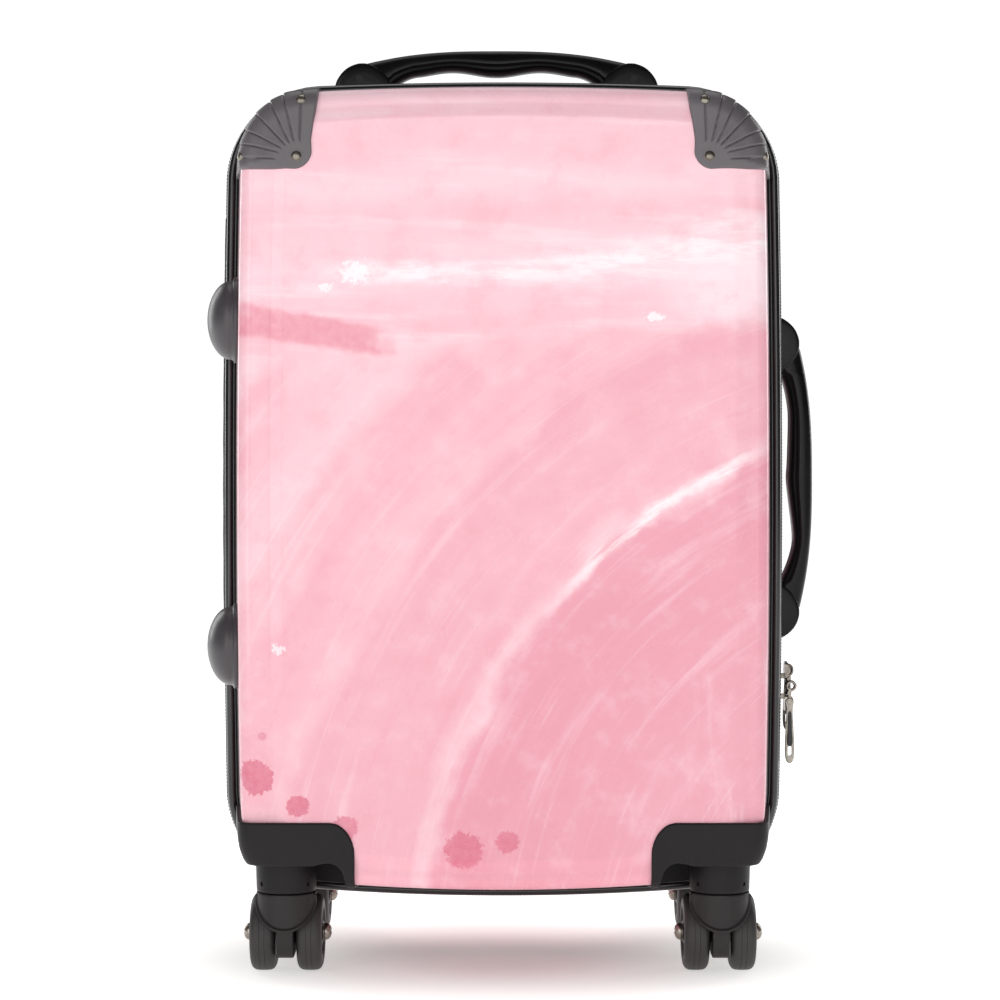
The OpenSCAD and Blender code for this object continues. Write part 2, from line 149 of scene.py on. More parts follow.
def cyl(c, axis, r, h, n=48, r2=None):
    """Cylinder or cone from point c along axis for h."""
    u, w, a = frame_of(axis)
    t = np.linspace(0, 2 * math.pi, n, endpoint=False)
    ring = np.outer(np.cos(t), u) + np.outer(np.sin(t), w)
    c = np.array(c, float)
    return loft([c + ring * r, c + a * h + ring * (r if r2 is None else r2)], cap0=True, cap1=True)


def lathe(c, axis, prof, n=64, u0=None):
    """Profile [(radius, distance along axis)] turned round the axis through c. Ends with radius near 0 are capped."""
    u, w, a = frame_of(axis)
    t = np.linspace(0, 2 * math.pi, n, endpoint=False)
    ring = np.outer(np.cos(t), u) + np.outer(np.sin(t), w)
    c = np.array(c, float)
    rings = [c + a * h + ring * max(r, 0.02) for r, h in prof]
    return loft(rings, cap0=True, cap1=True)


def box(x0, x1, y0, y1, z0, z1):
    v = [[x, y, z] for x in (x0, x1) for y in (y0, y1) for z in (z0, z1)]
    return v, [[0, 1, 3, 2], [4, 6, 7, 5], [0, 4, 5, 1], [2, 3, 7, 6], [0, 2, 6, 4], [1, 5, 7, 3]]


def prism(poly, lo, hi, axis="y"):
    """Polygon [(a, b)] drawn in the other two axes and extruded along the named axis."""
    p = np.asarray(poly, float)
    def at(t):
        q = np.full(len(p), float(t))
        return {"y": np.stack([p[:, 0], q, p[:, 1]], 1), "x": np.stack([q, p[:, 0], p[:, 1]], 1), "z": np.stack([p[:, 0], p[:, 1], q], 1)}[axis]
    return loft([at(lo), at(hi)], cap0=True, cap1=True)


def rounded(w, h, r, n=5, cx=0.0, cz=0.0):
    out = []
    for sx, sz, a0 in ((1, 1, 0), (-1, 1, 90), (-1, -1, 180), (1, -1, 270)):
        for i in range(n + 1):
            t = math.radians(a0 + 90.0 * i / n)
            out.append((cx + sx * (w / 2 - r) + r * math.cos(t), cz + sz * (h / 2 - r) + r * math.sin(t)))
    return out


def spline(pts, n, closed=False):
    """Catmull-Rom points through pts."""
    p = np.asarray(pts, float)
    m = len(p)
    out = []
    segs = m if closed else m - 1
    for i in range(segs):
        g = lambda k: p[k % m] if closed else p[min(max(k, 0), m - 1)]
        p0, p1, p2, p3 = g(i - 1), g(i), g(i + 1), g(i + 2)
        for s in range(n):
            t = s / n
            out.append(0.5 * ((2 * p1) + (-p0 + p2) * t + (2 * p0 - 5 * p1 + 4 * p2 - p3) * t * t + (-p0 + 3 * p1 - 3 * p2 + p3) * t ** 3))
    if not closed:
        out.append(p[-1])
    return np.array(out)


def tube(path, radii, n=12, closed=False):
    """A tube along a path, with one radius or one per point."""
    p = np.asarray(path, float)
    m = len(p)
    radii = np.full(m, radii, float) if np.isscalar(radii) else np.asarray(radii, float)
    rings = []
    prev = None
    for i in range(m):
        a = p[(i + 1) % m] if (closed or i + 1 < m) else p[i]
        b = p[i - 1] if (closed or i > 0) else p[i]
        d = Vector(a - b).normalized()
        u = (prev - d * prev.dot(d)).normalized() if prev is not None else d.orthogonal().normalized()
        prev = u
        w = d.cross(u)
        t = np.linspace(0, 2 * math.pi, n, endpoint=False)
        rings.append(p[i] + radii[i] * (np.outer(np.cos(t), u) + np.outer(np.sin(t), w)))
    return loft(rings, loop=closed, cap0=not closed, cap1=not closed)


def temp(vf, body=True):
    """A plain object for use as a boolean operand."""
    v, f = vf
    return mk("tmp", v, f, None, recalc=True, body=body)


def bake(o):
    """Applies an object's modifiers."""
    bpy.context.view_layer.update()
    dg = bpy.context.evaluated_depsgraph_get()
    me = bpy.data.meshes.new_from_object(o.evaluated_get(dg))
    old = o.data
    mats = [m for m in old.materials]
    o.modifiers.clear()
    o.data = me
    me.name = o.name
    if not len(me.materials):
        for m in mats:
            me.materials.append(m)
    bpy.data.meshes.remove(old)
    return o


def boolean(o, other, op="DIFFERENCE"):
    m = o.modifiers.new("b", "BOOLEAN")
    m.operation, m.solver, m.object = op, "EXACT", other
    bake(o)
    me = other.data
    bpy.data.objects.remove(other)
    bpy.data.meshes.remove(me)
    return o


def fuse(o, voxel, smooth=4, factor=0.5, keep=None):
    """Joins overlapping solids of one mesh into a moulded form with soft edges."""
    m = o.modifiers.new("r", "REMESH")
    m.mode, m.voxel_size = "VOXEL", voxel * 0.001
    s = o.modifiers.new("s", "SMOOTH")
    s.factor, s.iterations = factor, smooth
    if keep:
        d = o.modifiers.new("d", "DECIMATE")
        d.ratio = keep
    return bake(o)


def bevel(o, width, seg=3, angle=40):
    m = o.modifiers.new("v", "BEVEL")
    m.width, m.segments, m.limit_method, m.angle_limit = width * 0.001, seg, "ANGLE", math.radians(angle)
    m.harden_normals = False
    bake(o)
    return tidy(o, 50, recalc=False)


def mirror_y(v):
    v = np.array(v, float)
    v[:, 1] *= -1
    return v


def mirror_x(v):
    v = np.array(v, float)
    v[:, 0] *= -1
    return v


def drop(o):
    me = o.data
    bpy.data.objects.remove(o)
    bpy.data.meshes.remove(me)


# ------------------------------------------------------------------ outline of the case
def rim_points(nc=12, nl=24, ns=16):
    """Base points on the inner rectangle and outward normals, once round."""
    base, nrm = [], []
    def corner(sx, sz, a0):
        for i in range(nc + 1):
            t = math.radians(a0 + 90.0 * i / nc)
            base.append((sx * MX, sz * MZ)); nrm.append((math.cos(t), math.sin(t)))
    corner(1, 1, 0)
    for i in range(1, ns + 1):
        base.append((MX * (1 - 2 * i / (ns + 1)), MZ)); nrm.append((0, 1))
    corner(-1, 1, 90)
    for i in range(1, nl + 1):
        base.append((-MX, MZ * (1 - 2 * i / (nl + 1)))); nrm.append((-1, 0))
    corner(-1, -1, 180)
    for i in range(1, ns + 1):
        base.append((-MX * (1 - 2 * i / (ns + 1)), -MZ)); nrm.append((0, -1))
    corner(1, -1, 270)
    for i in range(1, nl + 1):
        base.append((MX, -MZ * (1 - 2 * i / (nl + 1)))); nrm.append((1, 0))
    return np.array(base, float), np.array(nrm, float)


def at(base, nrm, o, y, square=0.0):
    """Points at offset o from the rim outline, at depth y. Everything may be an array. square above 0 fills the lower corners out."""
    base, nrm = np.asarray(base, float), np.asarray(nrm, float)
    o = np.broadcast_to(np.asarray(o, float), (len(base),))
    y = np.broadcast_to(np.asarray(y, float), (len(base),))
    rad = R0 + o
    if square:
        k = np.abs(nrm)
        low = (base[:, 1] < 0) & (k[:, 0] > 0.001) & (k[:, 1] > 0.001)
        rad = np.where(low, rad * (1 + square * ((np.maximum(k[:, 0], 1e-6) ** 3 + np.maximum(k[:, 1], 1e-6) ** 3) ** (-1 / 3) - 1)), rad)
    p = base + nrm * rad[:, None]
    a, b = A0 + o, B0 + o
    x = p[:, 0] + np.sign(p[:, 0]) * BOW_S * (1 - (p[:, 1] / b) ** 2)
    z = p[:, 1] + np.where(p[:, 1] > 0, BOW_T, -BOW_B) * (1 - (p[:, 0] / a) ** 2)
    return np.stack([x, y, z + ZC], 1)


RB, RN = rim_points()


def ring(o, y, rb=None, rn=None, square=0.0):
    return at(RB if rb is None else rb, RN if rn is None else rn, o, y, square)


def wall_profile(y0, n_wall=6, n_fil=8, off=0.0, fy=DEPTH):
    """(offset, y, outward part of the normal, forward part) from the rim side to the face."""
    out = []
    al = math.atan(DRAFT)
    for i in range(n_wall):
        y = y0 + (EY - y0) * i / n_wall
        out.append((-DRAFT * y + off, -y, math.cos(al), -math.sin(al)))
    ry = fy - EY
    for i in range(n_fil + 1):
        t = math.radians(90.0 * i / n_fil)
        out.append((-DRAFT * EY - EDGE + (EDGE + off) * math.cos(t), -(EY + (ry + off) * math.sin(t)), math.cos(t), -math.sin(t)))
    return out


def side_x(y, z):
    return A0 - DRAFT * abs(y) + BOW_S * (1 - ((z - ZC) / (B0 - DRAFT * abs(y))) ** 2)


def top_z(x, y):
    return ZC + B0 - DRAFT * abs(y) + BOW_T * (1 - (x / (A0 - DRAFT * abs(y))) ** 2)


# ------------------------------------------------------------------ materials
def lin(c):
    c = c / 255.0
    return c / 12.92 if c <= 0.04045 else ((c + 0.055) / 1.055) ** 2.4


def rgb(r, g, b):
    return (lin(r), lin(g), lin(b), 1.0)


class Mat:
    """A node material with one Principled shader."""

    def __init__(self, name):
        self.m = bpy.data.materials.new(name)
        self.m.use_nodes = True
        self.t = self.m.node_tree
        self.t.nodes.clear()
        self.out = self.t.nodes.new("ShaderNodeOutputMaterial")
        self.b = self.t.nodes.new("ShaderNodeBsdfPrincipled")
        self.t.links.new(self.b.outputs[0], self.out.inputs[0])
        self.tc = self.t.nodes.new("ShaderNodeTexCoord")
        self.P = self.tc.outputs["Object"]

    def put(self, sock, v):
        if isinstance(v, bpy.types.NodeSocket):
            self.t.links.new(v, sock)
        elif isinstance(v, (tuple, list)) and hasattr(sock, "default_value") and len(sock.default_value) == 4 and len(v) == 3:
            sock.default_value = (*v, 1.0)
        else:
            sock.default_value = v

    def set(self, **k):
        for n, v in k.items():
            self.put(self.b.inputs[n.replace("_", " ")], v)
        return self

    def math(self, op, a, b=0.0, c=0.0, clamp=False):
        n = self.t.nodes.new("ShaderNodeMath")
        n.operation, n.use_clamp = op, clamp
        for i, v in enumerate((a, b, c)):
            self.put(n.inputs[i], v)
        return n.outputs[0]

    def add(self, a, b): return self.math("ADD", a, b)
    def sub(self, a, b): return self.math("SUBTRACT", a, b)
    def mul(self, a, b): return self.math("MULTIPLY", a, b)

    def scale(self, vec, s):
        n = self.t.nodes.new("ShaderNodeMapping")
        self.put(n.inputs["Vector"], vec)
        n.inputs["Scale"].default_value = s if isinstance(s, tuple) else (s, s, s)
        return n.outputs[0]

    def sep(self, vec):
        n = self.t.nodes.new("ShaderNodeSeparateXYZ")
        self.put(n.inputs[0], vec)
        return n.outputs[0], n.outputs[1], n.outputs[2]

    def comb(self, x=0.0, y=0.0, z=0.0):
        n = self.t.nodes.new("ShaderNodeCombineXYZ")
        for i, v in enumerate((x, y, z)):
            self.put(n.inputs[i], v)
        return n.outputs[0]

    def noise(self, vec, scale, detail=3.0, rough=0.5, dist=0.0):
        n = self.t.nodes.new("ShaderNodeTexNoise")
        self.put(n.inputs["Vector"], vec)
        n.inputs["Scale"].default_value = scale
        n.inputs["Detail"].default_value = detail
        n.inputs["Roughness"].default_value = rough
        n.inputs["Distortion"].default_value = dist
        return n.outputs[0]

    def voronoi(self, vec, scale, feature="F1"):
        n = self.t.nodes.new("ShaderNodeTexVoronoi")
        n.feature = feature
        self.put(n.inputs["Vector"], vec)
        n.inputs["Scale"].default_value = scale
        return n.outputs[0]

    def wave(self, vec, scale, axis="X", dist=0.0):
        n = self.t.nodes.new("ShaderNodeTexWave")
        n.wave_type, n.bands_direction, n.wave_profile = "BANDS", axis, "SIN"
        self.put(n.inputs["Vector"], vec)
        n.inputs["Scale"].default_value = scale
        n.inputs["Distortion"].default_value = dist
        return n.outputs[1]

    def step(self, x, lo, hi, a=0.0, b=1.0):
        n = self.t.nodes.new("ShaderNodeMapRange")
        n.interpolation_type = "SMOOTHSTEP"
        for i, v in enumerate((x, lo, hi, a, b)):
            self.put(n.inputs[i], v)
        return n.outputs[0]

    def lerp(self, x, lo, hi, a=0.0, b=1.0):
        n = self.t.nodes.new("ShaderNodeMapRange")
        for i, v in enumerate((x, lo, hi, a, b)):
            self.put(n.inputs[i], v)
        return n.outputs[0]

    def ramp(self, fac, stops, mode="LINEAR"):
        n = self.t.nodes.new("ShaderNodeValToRGB")
        n.color_ramp.interpolation = mode
        self.put(n.inputs[0], fac)
        e = n.color_ramp.elements
        while len(e) < len(stops):
            e.new(0.5)
        for k, (p, c) in zip(e, stops):
            k.position = p
            k.color = c if len(c) == 4 else (*c, 1.0)
        return n.outputs[0]

    def mix(self, fac, a, b, mode="MIX"):
        n = self.t.nodes.new("ShaderNodeMix")
        n.data_type, n.blend_type = "RGBA", mode
        self.put(n.inputs[0], fac)
        self.put(n.inputs[6], a)
        self.put(n.inputs[7], b)
        return n.outputs[2]

    def bump(self, height, strength=0.3, dist=0.0002, normal=None):
        n = self.t.nodes.new("ShaderNodeBump")
        n.inputs["Strength"].default_value = strength
        n.inputs["Distance"].default_value = dist
        self.put(n.inputs["Height"], height)
        if normal is not None:
            self.put(n.inputs["Normal"], normal)
        return n.outputs[0]


def mat_paint(name, shift, flip=1.0, detail=True):
    """Glossy shell with a printed wash of loose pink brush strokes."""
    t = Mat(name)
    x, y, z = t.sep(t.P)
    # spread the pattern outwards down the side walls, so it doesn't streak
    k = t.add(1.0, t.mul(t.math("MAXIMUM", t.sub(0.1035, t.math("ABSOLUTE", y)), 0.0), 2.6))
    u = t.mul(t.mul(t.add(x, 0.009), 1000.0 * flip), k)
    v = t.add(t.mul(t.sub(t.mul(z, 1000.0), ZC), k), ZC)
    p = t.comb(u, v, shift)
    warp = t.sub(t.noise(p, 0.012, 2.0), 0.5)
    warp2 = t.sub(t.noise(p, 0.06, 3.0, 0.6), 0.5)
    pa = t.comb(t.mul(u, 0.35), t.mul(t.add(v, t.mul(u, 0.03)), 3.2), shift)

    # lower family of strokes: broad arcs swung about a point beyond the lower right corner
    du, dv = t.sub(u, 268.0), t.sub(v, 12.0)
    r = t.math("SQRT", t.add(t.mul(du, du), t.mul(dv, dv)))
    th = t.mul(t.math("ARCTAN2", dv, du), 120.0)
    rw = t.add(r, t.add(t.mul(warp, 46.0), t.mul(warp2, 12.0)))
    pb = t.comb(t.mul(r, 1.0), t.mul(th, 0.16), shift)
    streak = t.noise(pb, 0.11, 6.0, 0.62)
    broad = t.noise(t.comb(t.mul(rw, 1.0), t.mul(th, 0.22), shift + 7.0), 0.022, 2.0)
    arcs = t.ramp(t.lerp(rw, 80.0, 560.0), [
        (0.00, rgb(240, 172, 186)), (0.10, rgb(236, 160, 176)), (0.20, rgb(237, 164, 179)), (0.32, rgb(235, 157, 173)), (0.44, rgb(233, 152, 169)), (0.476, rgb(235, 156, 173)),
        (0.492, rgb(247, 199, 209)), (0.515, rgb(241, 175, 188)), (0.60, rgb(240, 174, 187)), (0.645, rgb(238, 166, 181)), (0.67, rgb(243, 180, 192)), (0.73, rgb(241, 173, 187)),
        (0.79, rgb(240, 173, 186)), (0.815, rgb(248, 198, 208)), (0.88, rgb(243, 181, 194)), (0.93, rgb(243, 180, 193)), (0.95, rgb(252, 213, 221)), (1.0, rgb(247, 194, 205))])
    arcs = t.mix(t.step(streak, 0.52, 0.72, 0.0, 0.40), arcs, rgb(252, 214, 222))
    arcs = t.mix(t.step(streak, 0.46, 0.28, 0.0, 0.5), arcs, rgb(238, 158, 175))
    arcs = t.mix(t.step(broad, 0.52, 0.70, 0.0, 0.28), arcs, rgb(252, 208, 216))

    # upper family: level strokes, paler, with thick white sweeps
    wash = t.noise(pa, 0.018, 5.0, 0.6)
    vw = t.add(v, t.add(t.mul(warp, 26.0), t.mul(u, -0.035)))
    top = t.ramp(t.lerp(vw, 350.0, 520.0), [
        (0.0, rgb(250, 204, 213)), (0.14, rgb(246, 186, 198)), (0.24, rgb(247, 196, 207)), (0.33, rgb(249, 205, 215)),
        (0.40, rgb(250, 203, 212)), (0.52, rgb(247, 191, 202)), (0.62, rgb(250, 207, 216)), (0.72, rgb(247, 193, 204)), (0.86, rgb(247, 196, 207)), (1.0, rgb(248, 201, 211))])
    top = t.mix(t.step(wash, 0.5, 0.75, 0.0, 0.6), top, rgb(254, 232, 237))
    top = t.mix(t.step(wash, 0.47, 0.25, 0.0, 0.35), top, rgb(246, 184, 197))
    edge = t.add(t.mul(u, 0.10), t.add(t.mul(warp, 30.0), t.mul(warp2, 9.0)))
    col = t.mix(t.step(t.sub(v, edge), 352.0, 376.0), arcs, top)

    # dark leaf of paint at the left, between the two
    dl = t.sub(v, t.add(371.0, t.mul(t.add(u, 105.0), -0.16)))
    leaf = t.mul(t.step(t.math("ABSOLUTE", t.add(dl, t.mul(warp2, 9.0))), 11.0, 6.5), t.step(t.add(u, t.mul(warp2, 30.0)), -58.0, -78.0))
    col = t.mix(t.mul(leaf, t.lerp(t.noise(p, 0.2, 4.0, 0.6), 0.35, 0.65, 0.68, 0.92)), col, rgb(232, 142, 160))

    # thick white sweep across the upper part, and its start
    sv = t.sub(v, t.add(404.0, t.mul(t.mul(t.add(u, 40.0), t.add(u, 40.0)), 0.00055)))
    sweep = t.mul(t.step(t.math("ABSOLUTE", t.add(sv, t.mul(warp2, 7.0))), t.add(10.0, t.mul(t.math("MAXIMUM", u, 0.0), 0.11)), 1.5), t.step(t.add(u, t.mul(warp2, 26.0)), -108.0, -84.0))
    dab = t.noise(t.comb(t.mul(u, 0.5), t.mul(v, 2.4), shift + 3.0), 0.07, 6.0, 0.65)
    col = t.mix(t.mul(sweep, t.step(dab, 0.36, 0.60, 0.25, 0.85)), col, rgb(255, 243, 246))
    pale = t.mul(t.step(t.math("ABSOLUTE", t.sub(v, t.add(393.0, t.mul(warp2, 18.0)))), 26.0, 8.0), t.step(t.add(u, t.mul(warp, 40.0)), 70.0, 125.0))
    col = t.mix(t.mul(pale, 0.62), col, rgb(254, 238, 243))
    # bright ridge of paint along one arc at the right
    ridge = t.mul(t.step(t.math("ABSOLUTE", t.add(t.sub(r, 314.0), t.mul(warp2, 10.0))), 5.5, 0.6),
                  t.mul(t.step(u, 20.0, 60.0), t.step(u, 150.0, 128.0)))
    rough_paint = t.noise(t.comb(t.mul(r, 2.0), t.mul(th, 0.5), shift + 11.0), 0.09, 6.0, 0.7)
    col = t.mix(t.mul(ridge, t.step(rough_paint, 0.38, 0.58, 0.1, 0.95)), col, rgb(255, 240, 243))
    # fine dry-brush hairs along the arcs
    hair = t.step(t.noise(t.comb(t.mul(r, 1.0), t.mul(th, 0.05), shift + 5.0), 0.55, 3.0, 0.5), 0.60, 0.80, 0.0, 0.30)
    col = t.mix(t.mul(hair, t.step(t.sub(v, edge), 372.0, 350.0)), col, rgb(254, 228, 233))
    # pale drips down the right
    drip = t.mul(t.step(t.noise(t.comb(t.mul(u, 1.6), t.mul(v, 0.22), shift + 9.0), 0.06, 5.0, 0.6), 0.52, 0.72, 0.0, 0.38),
                 t.mul(t.step(u, 92.0, 128.0), t.step(v, 215.0, 185.0)))
    col = t.mix(drip, col, rgb(253, 226, 231))

    jag = t.sub(t.noise(p, 0.35, 4.0, 0.65), 0.5)
    # small flecks of thick white
    flecks = ((86.0, 379.0, 6.5, 0.45), (-128.0, 190.0, 4.2, 0.8), (-84.0, 404.0, 10.0, 0.7), (-101.0, 396.0, 5.0, 0.6)) if detail else ((-60.0, 396.0, 7.0, 0.5), (104.0, 372.0, 4.0, 0.7))
    for bu, bv, br, sq in flecks:
        a, b = t.sub(u, bu), t.mul(t.sub(v, bv), 1.0 / sq)
        d = t.math("SQRT", t.add(t.mul(a, a), t.mul(b, b)))
        m = t.step(t.add(d, t.mul(jag, br * 3.4)), br, br * 0.55)
        col = t.mix(t.mul(m, 0.8), col, rgb(255, 246, 248))
    # drops of darker paint with a ragged fringe
    spots = ((-141.0, 117.0, 10.5, 1.0), (-116.5, 101.0, 6.4, 1.0), (-90.0, 88.5, 7.5, 0.8), (-22.5, 76.0, 11.0, 1.0), (2.5, 80.5, 6.6, 0.95), (-137.0, 140.5, 2.4, 0.6))
    if not detail:
        spots = ((-118.0, 128.0, 8.0, 1.0), (-96.0, 106.0, 5.0, 0.9), (30.0, 84.0, 9.0, 0.9), (52.0, 96.0, 4.6, 0.9), (88.0, 430.0, 4.0, 0.6))
    for bu, bv, br, w in spots:
        a, b = t.sub(u, bu), t.mul(t.sub(v, bv), 1.06)
        d = t.math("SQRT", t.add(t.mul(a, a), t.mul(b, b)))
        spike = t.sub(t.noise(t.comb(t.mul(t.math("ARCTAN2", b, a), 6.5), bu * 0.13, t.mul(d, 0.04)), 1.0, 3.0, 0.7), 0.5)
        m = t.step(t.add(d, t.add(t.mul(jag, br * 0.8), t.mul(spike, br * 0.75))), br + 0.5, br - 0.5)
        inner = t.lerp(t.noise(p, 0.25, 3.0), 0.3, 0.7, 0.75, 1.0)
        col = t.mix(t.mul(t.mul(m, inner), w), col, rgb(219, 106, 133))
    # watery mottling
    mott = t.noise(p, 0.045, 5.0, 0.62)
    col = t.mix(t.step(mott, 0.50, 0.70, 0.0, 0.20), col, rgb(254, 224, 231))
    col = t.mix(t.step(mott, 0.50, 0.32, 0.0, 0.22), col, rgb(233, 146, 163))
    # paper grain of the print
    grain = t.noise(p, 1.6, 3.0, 0.6)
    col = t.mix(t.lerp(grain, 0.3, 0.7, 0.0, 0.10), col, rgb(255, 236, 240))
    fine = t.noise(t.P, 900.0, 2.0)
    h = t.add(t.mul(fine, 0.35), t.mul(t.noise(t.P, 60.0, 2.0), 1.0))
    t.set(Base_Color=col, Roughness=t.lerp(t.noise(t.P, 40.0, 4.0), 0.3, 0.7, 0.24, 0.34), Coat_Weight=0.35, Coat_Roughness=0.08,
          Specular_IOR_Level=0.35, Normal=t.bump(h, 0.05, 0.0004))
    return t.m


def mat_plastic(name, colour, rough=0.45, grain=0.25, gscale=1400.0, coat=0.0, spec=0.5, wear=0.12, tint=None):
    """Moulded plastic: fine texture, slow change of sheen, scuffs."""
    t = Mat(name)
    slow = t.noise(t.P, 22.0, 3.0)
    scuff = t.noise(t.scale(t.P, (1.0, 1.0, 0.35)), 260.0, 6.0, 0.7)
    c2 = tuple(min(1.0, v * 1.5 + 0.001) for v in colour[:3])
    base = t.mix(t.lerp(slow, 0.3, 0.7, 0.0, 0.55), colour, (*c2, 1.0))
    base = t.mix(t.step(scuff, 0.62, 0.80, 0.0, wear), base, tint or (0.25, 0.25, 0.25, 1.0))
    g = t.noise(t.P, gscale, 2.0, 0.6)
    h = t.add(g, t.mul(t.noise(t.P, 120.0, 3.0), 0.6))
    t.set(Base_Color=base, Roughness=t.add(t.lerp(slow, 0.3, 0.7, rough - 0.05, rough + 0.06), t.step(scuff, 0.6, 0.8, 0.0, 0.1)),
          Specular_IOR_Level=spec, Coat_Weight=coat, Coat_Roughness=0.1, Normal=t.bump(h, grain, 0.00012))
    return t.m


def mat_metal(name, colour, rough=0.25, brushed=None, dark=0.3):
    t = Mat(name)
    tarn = t.noise(t.P, 90.0, 5.0, 0.6)
    if brushed:
        line = t.noise(t.scale(t.P, brushed), 1.0, 3.0, 0.6)
    else:
        line = t.noise(t.P, 1500.0, 3.0, 0.6)
    low = tuple(v * (1.0 - dark) for v in colour[:3])
    base = t.mix(t.step(tarn, 0.35, 0.65), (*low, 1.0), colour)
    t.set(Base_Color=base, Metallic=1.0, Roughness=t.add(t.lerp(tarn, 0.3, 0.7, rough + 0.08, rough), t.lerp(line, 0.3, 0.7, -0.03, 0.06)),
          Normal=t.bump(line, 0.12, 0.00006))
    return t.m


def mat_fabric(name, colour, light, pitch=1.1, rough=0.9, axes="xz", bump=0.6, sheen=0.2, weave=0.55):
    """Plain weave at the given thread pitch in millimetres."""
    t = Mat(name)
    x, y, z = t.sep(t.P)
    a, b = {"xz": (x, z), "yz": (y, z), "xy": (x, y)}[axes]
    k = 2 * math.pi / (pitch * 0.001)
    wob = t.mul(t.sub(t.noise(t.P, 160.0, 2.0), 0.5), 1.6)
    sa = t.math("SINE", t.add(t.mul(a, k), wob))
    sb = t.math("SINE", t.add(t.mul(b, k), wob))
    h = t.add(0.5, t.mul(0.5, t.mul(sa, sb)))
    lines = t.mul(0.5, t.add(t.math("ABSOLUTE", sa), t.math("ABSOLUTE", sb)))
    slow = t.noise(t.P, 30.0, 4.0, 0.6)
    # thread crests coloured lighter than the hollows between them: painted light and shade on the weave's relief
    base = t.mix(t.mul(h, weave), colour, light)
    base = t.mix(t.lerp(slow, 0.3, 0.7, 0.0, 0.35), base, tuple(v * 0.6 for v in colour[:3]) + (1.0,))
    t.set(Base_Color=base, Roughness=t.lerp(h, 0.0, 1.0, rough - 0.08, rough), Sheen_Weight=sheen, Sheen_Roughness=0.5,
          Specular_IOR_Level=0.25, Normal=t.bump(t.add(h, t.mul(lines, 0.5)), bump, 0.00025))
    return t.m


M = {}
M["paint_f"] = mat_paint("shell_print_front", 0.0)
M["paint_r"] = mat_paint("shell_print_rear", 40.0, -1.0, False)
M["gloss"] = mat_plastic("trim_gloss_black", rgb(10, 10, 12), 0.20, 0.05, 500.0, coat=0.4, wear=0.03)
M["housing"] = mat_plastic("housing_plastic", rgb(29, 27, 28), 0.44, 0.35, 1500.0, spec=0.18, wear=0.07)
M["fork"] = mat_plastic("fork_plastic", rgb(41, 38, 38), 0.42, 0.30, 1500.0, spec=0.24, wear=0.08)
M["guard"] = mat_plastic("guard_plastic", rgb(90, 86, 89), 0.38, 0.30, 1300.0, spec=0.5, wear=0.12, tint=(0.35, 0.34, 0.34, 1))
M["foot"] = mat_plastic("foot_plastic", rgb(62, 60, 63), 0.34, 0.30, 1300.0, spec=0.50, wear=0.10)
M["grip"] = mat_plastic("grip_soft_plastic", rgb(7, 7, 9), 0.29, 0.20, 1600.0, spec=0.22, wear=0.02)
M["button"] = mat_plastic("button_plastic", rgb(110, 110, 114), 0.40, 0.25, 1200.0)
M["tyre"] = mat_plastic("tyre_rubber", rgb(50, 47, 47), 0.50, 0.45, 900.0, spec=0.35, wear=0.22, tint=(0.30, 0.28, 0.26, 1))
M["hub"] = mat_plastic("hub_plastic", rgb(40, 40, 43), 0.38, 0.2, 1300.0, spec=0.5, wear=0.10)
M["inner"] = mat_plastic("shell_inside_plastic", rgb(70, 62, 66), 0.5, 0.2, 900.0, spec=0.4)
M["rivet"] = mat_metal("rivet_antique_nickel", (0.30, 0.27, 0.23, 1), 0.30, dark=0.45)
M["bolt"] = mat_metal("bolt_plated_steel", (0.46, 0.41, 0.36, 1), 0.26, dark=0.45)
M["nickel"] = mat_metal("zip_nickel", (0.33, 0.30, 0.265, 1), 0.20, dark=0.5)
M["steel"] = mat_metal("pin_steel", (0.55, 0.55, 0.56, 1), 0.30)
M["alu"] = mat_metal("tube_anodised_aluminium", (0.50, 0.51, 0.53, 1), 0.30, brushed=(2500.0, 2500.0, 12.0), dark=0.05)
M["inlay"] = mat_plastic("pull_inlay", rgb(22, 21, 22), 0.35, 0.1, 900.0)
M["tape"] = mat_fabric("zip_tape_twill", rgb(26, 26, 28), rgb(46, 46, 49), 0.9, axes="xz", bump=0.5)
M["teeth"] = mat_plastic("zip_coil_nylon", rgb(34, 33, 34), 0.35, 0.1, 900.0, spec=0.5, wear=0.25, tint=(0.4, 0.38, 0.36, 1))
M["hinge"] = mat_fabric("hinge_woven", rgb(38, 37, 39), rgb(66, 64, 66), 0.9, axes="yz", bump=0.5)
M["lining"] = mat_fabric("lining_polyester", rgb(64, 62, 68), rgb(92, 90, 97), 1.3, axes="xz", bump=0.35, sheen=0.3)
M["pocket"] = mat_fabric("pocket_mesh_fabric", rgb(40, 39, 43), rgb(70, 68, 74), 2.4, axes="xz", bump=0.7, sheen=0.2, weave=0.9)
M["strap"] = mat_fabric("strap_webbing", rgb(30, 30, 32), rgb(58, 58, 62), 1.6, axes="xz", bump=0.8, sheen=0.15)
M["stitch"] = mat_fabric("stitch_thread", rgb(96, 94, 98), rgb(140, 138, 142), 0.6, axes="xz", bump=0.4)


def put_mat(node, mat, sharp=None):
    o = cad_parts[node]
    o.data.materials.clear()
    o.data.materials.append(mat)
    return o


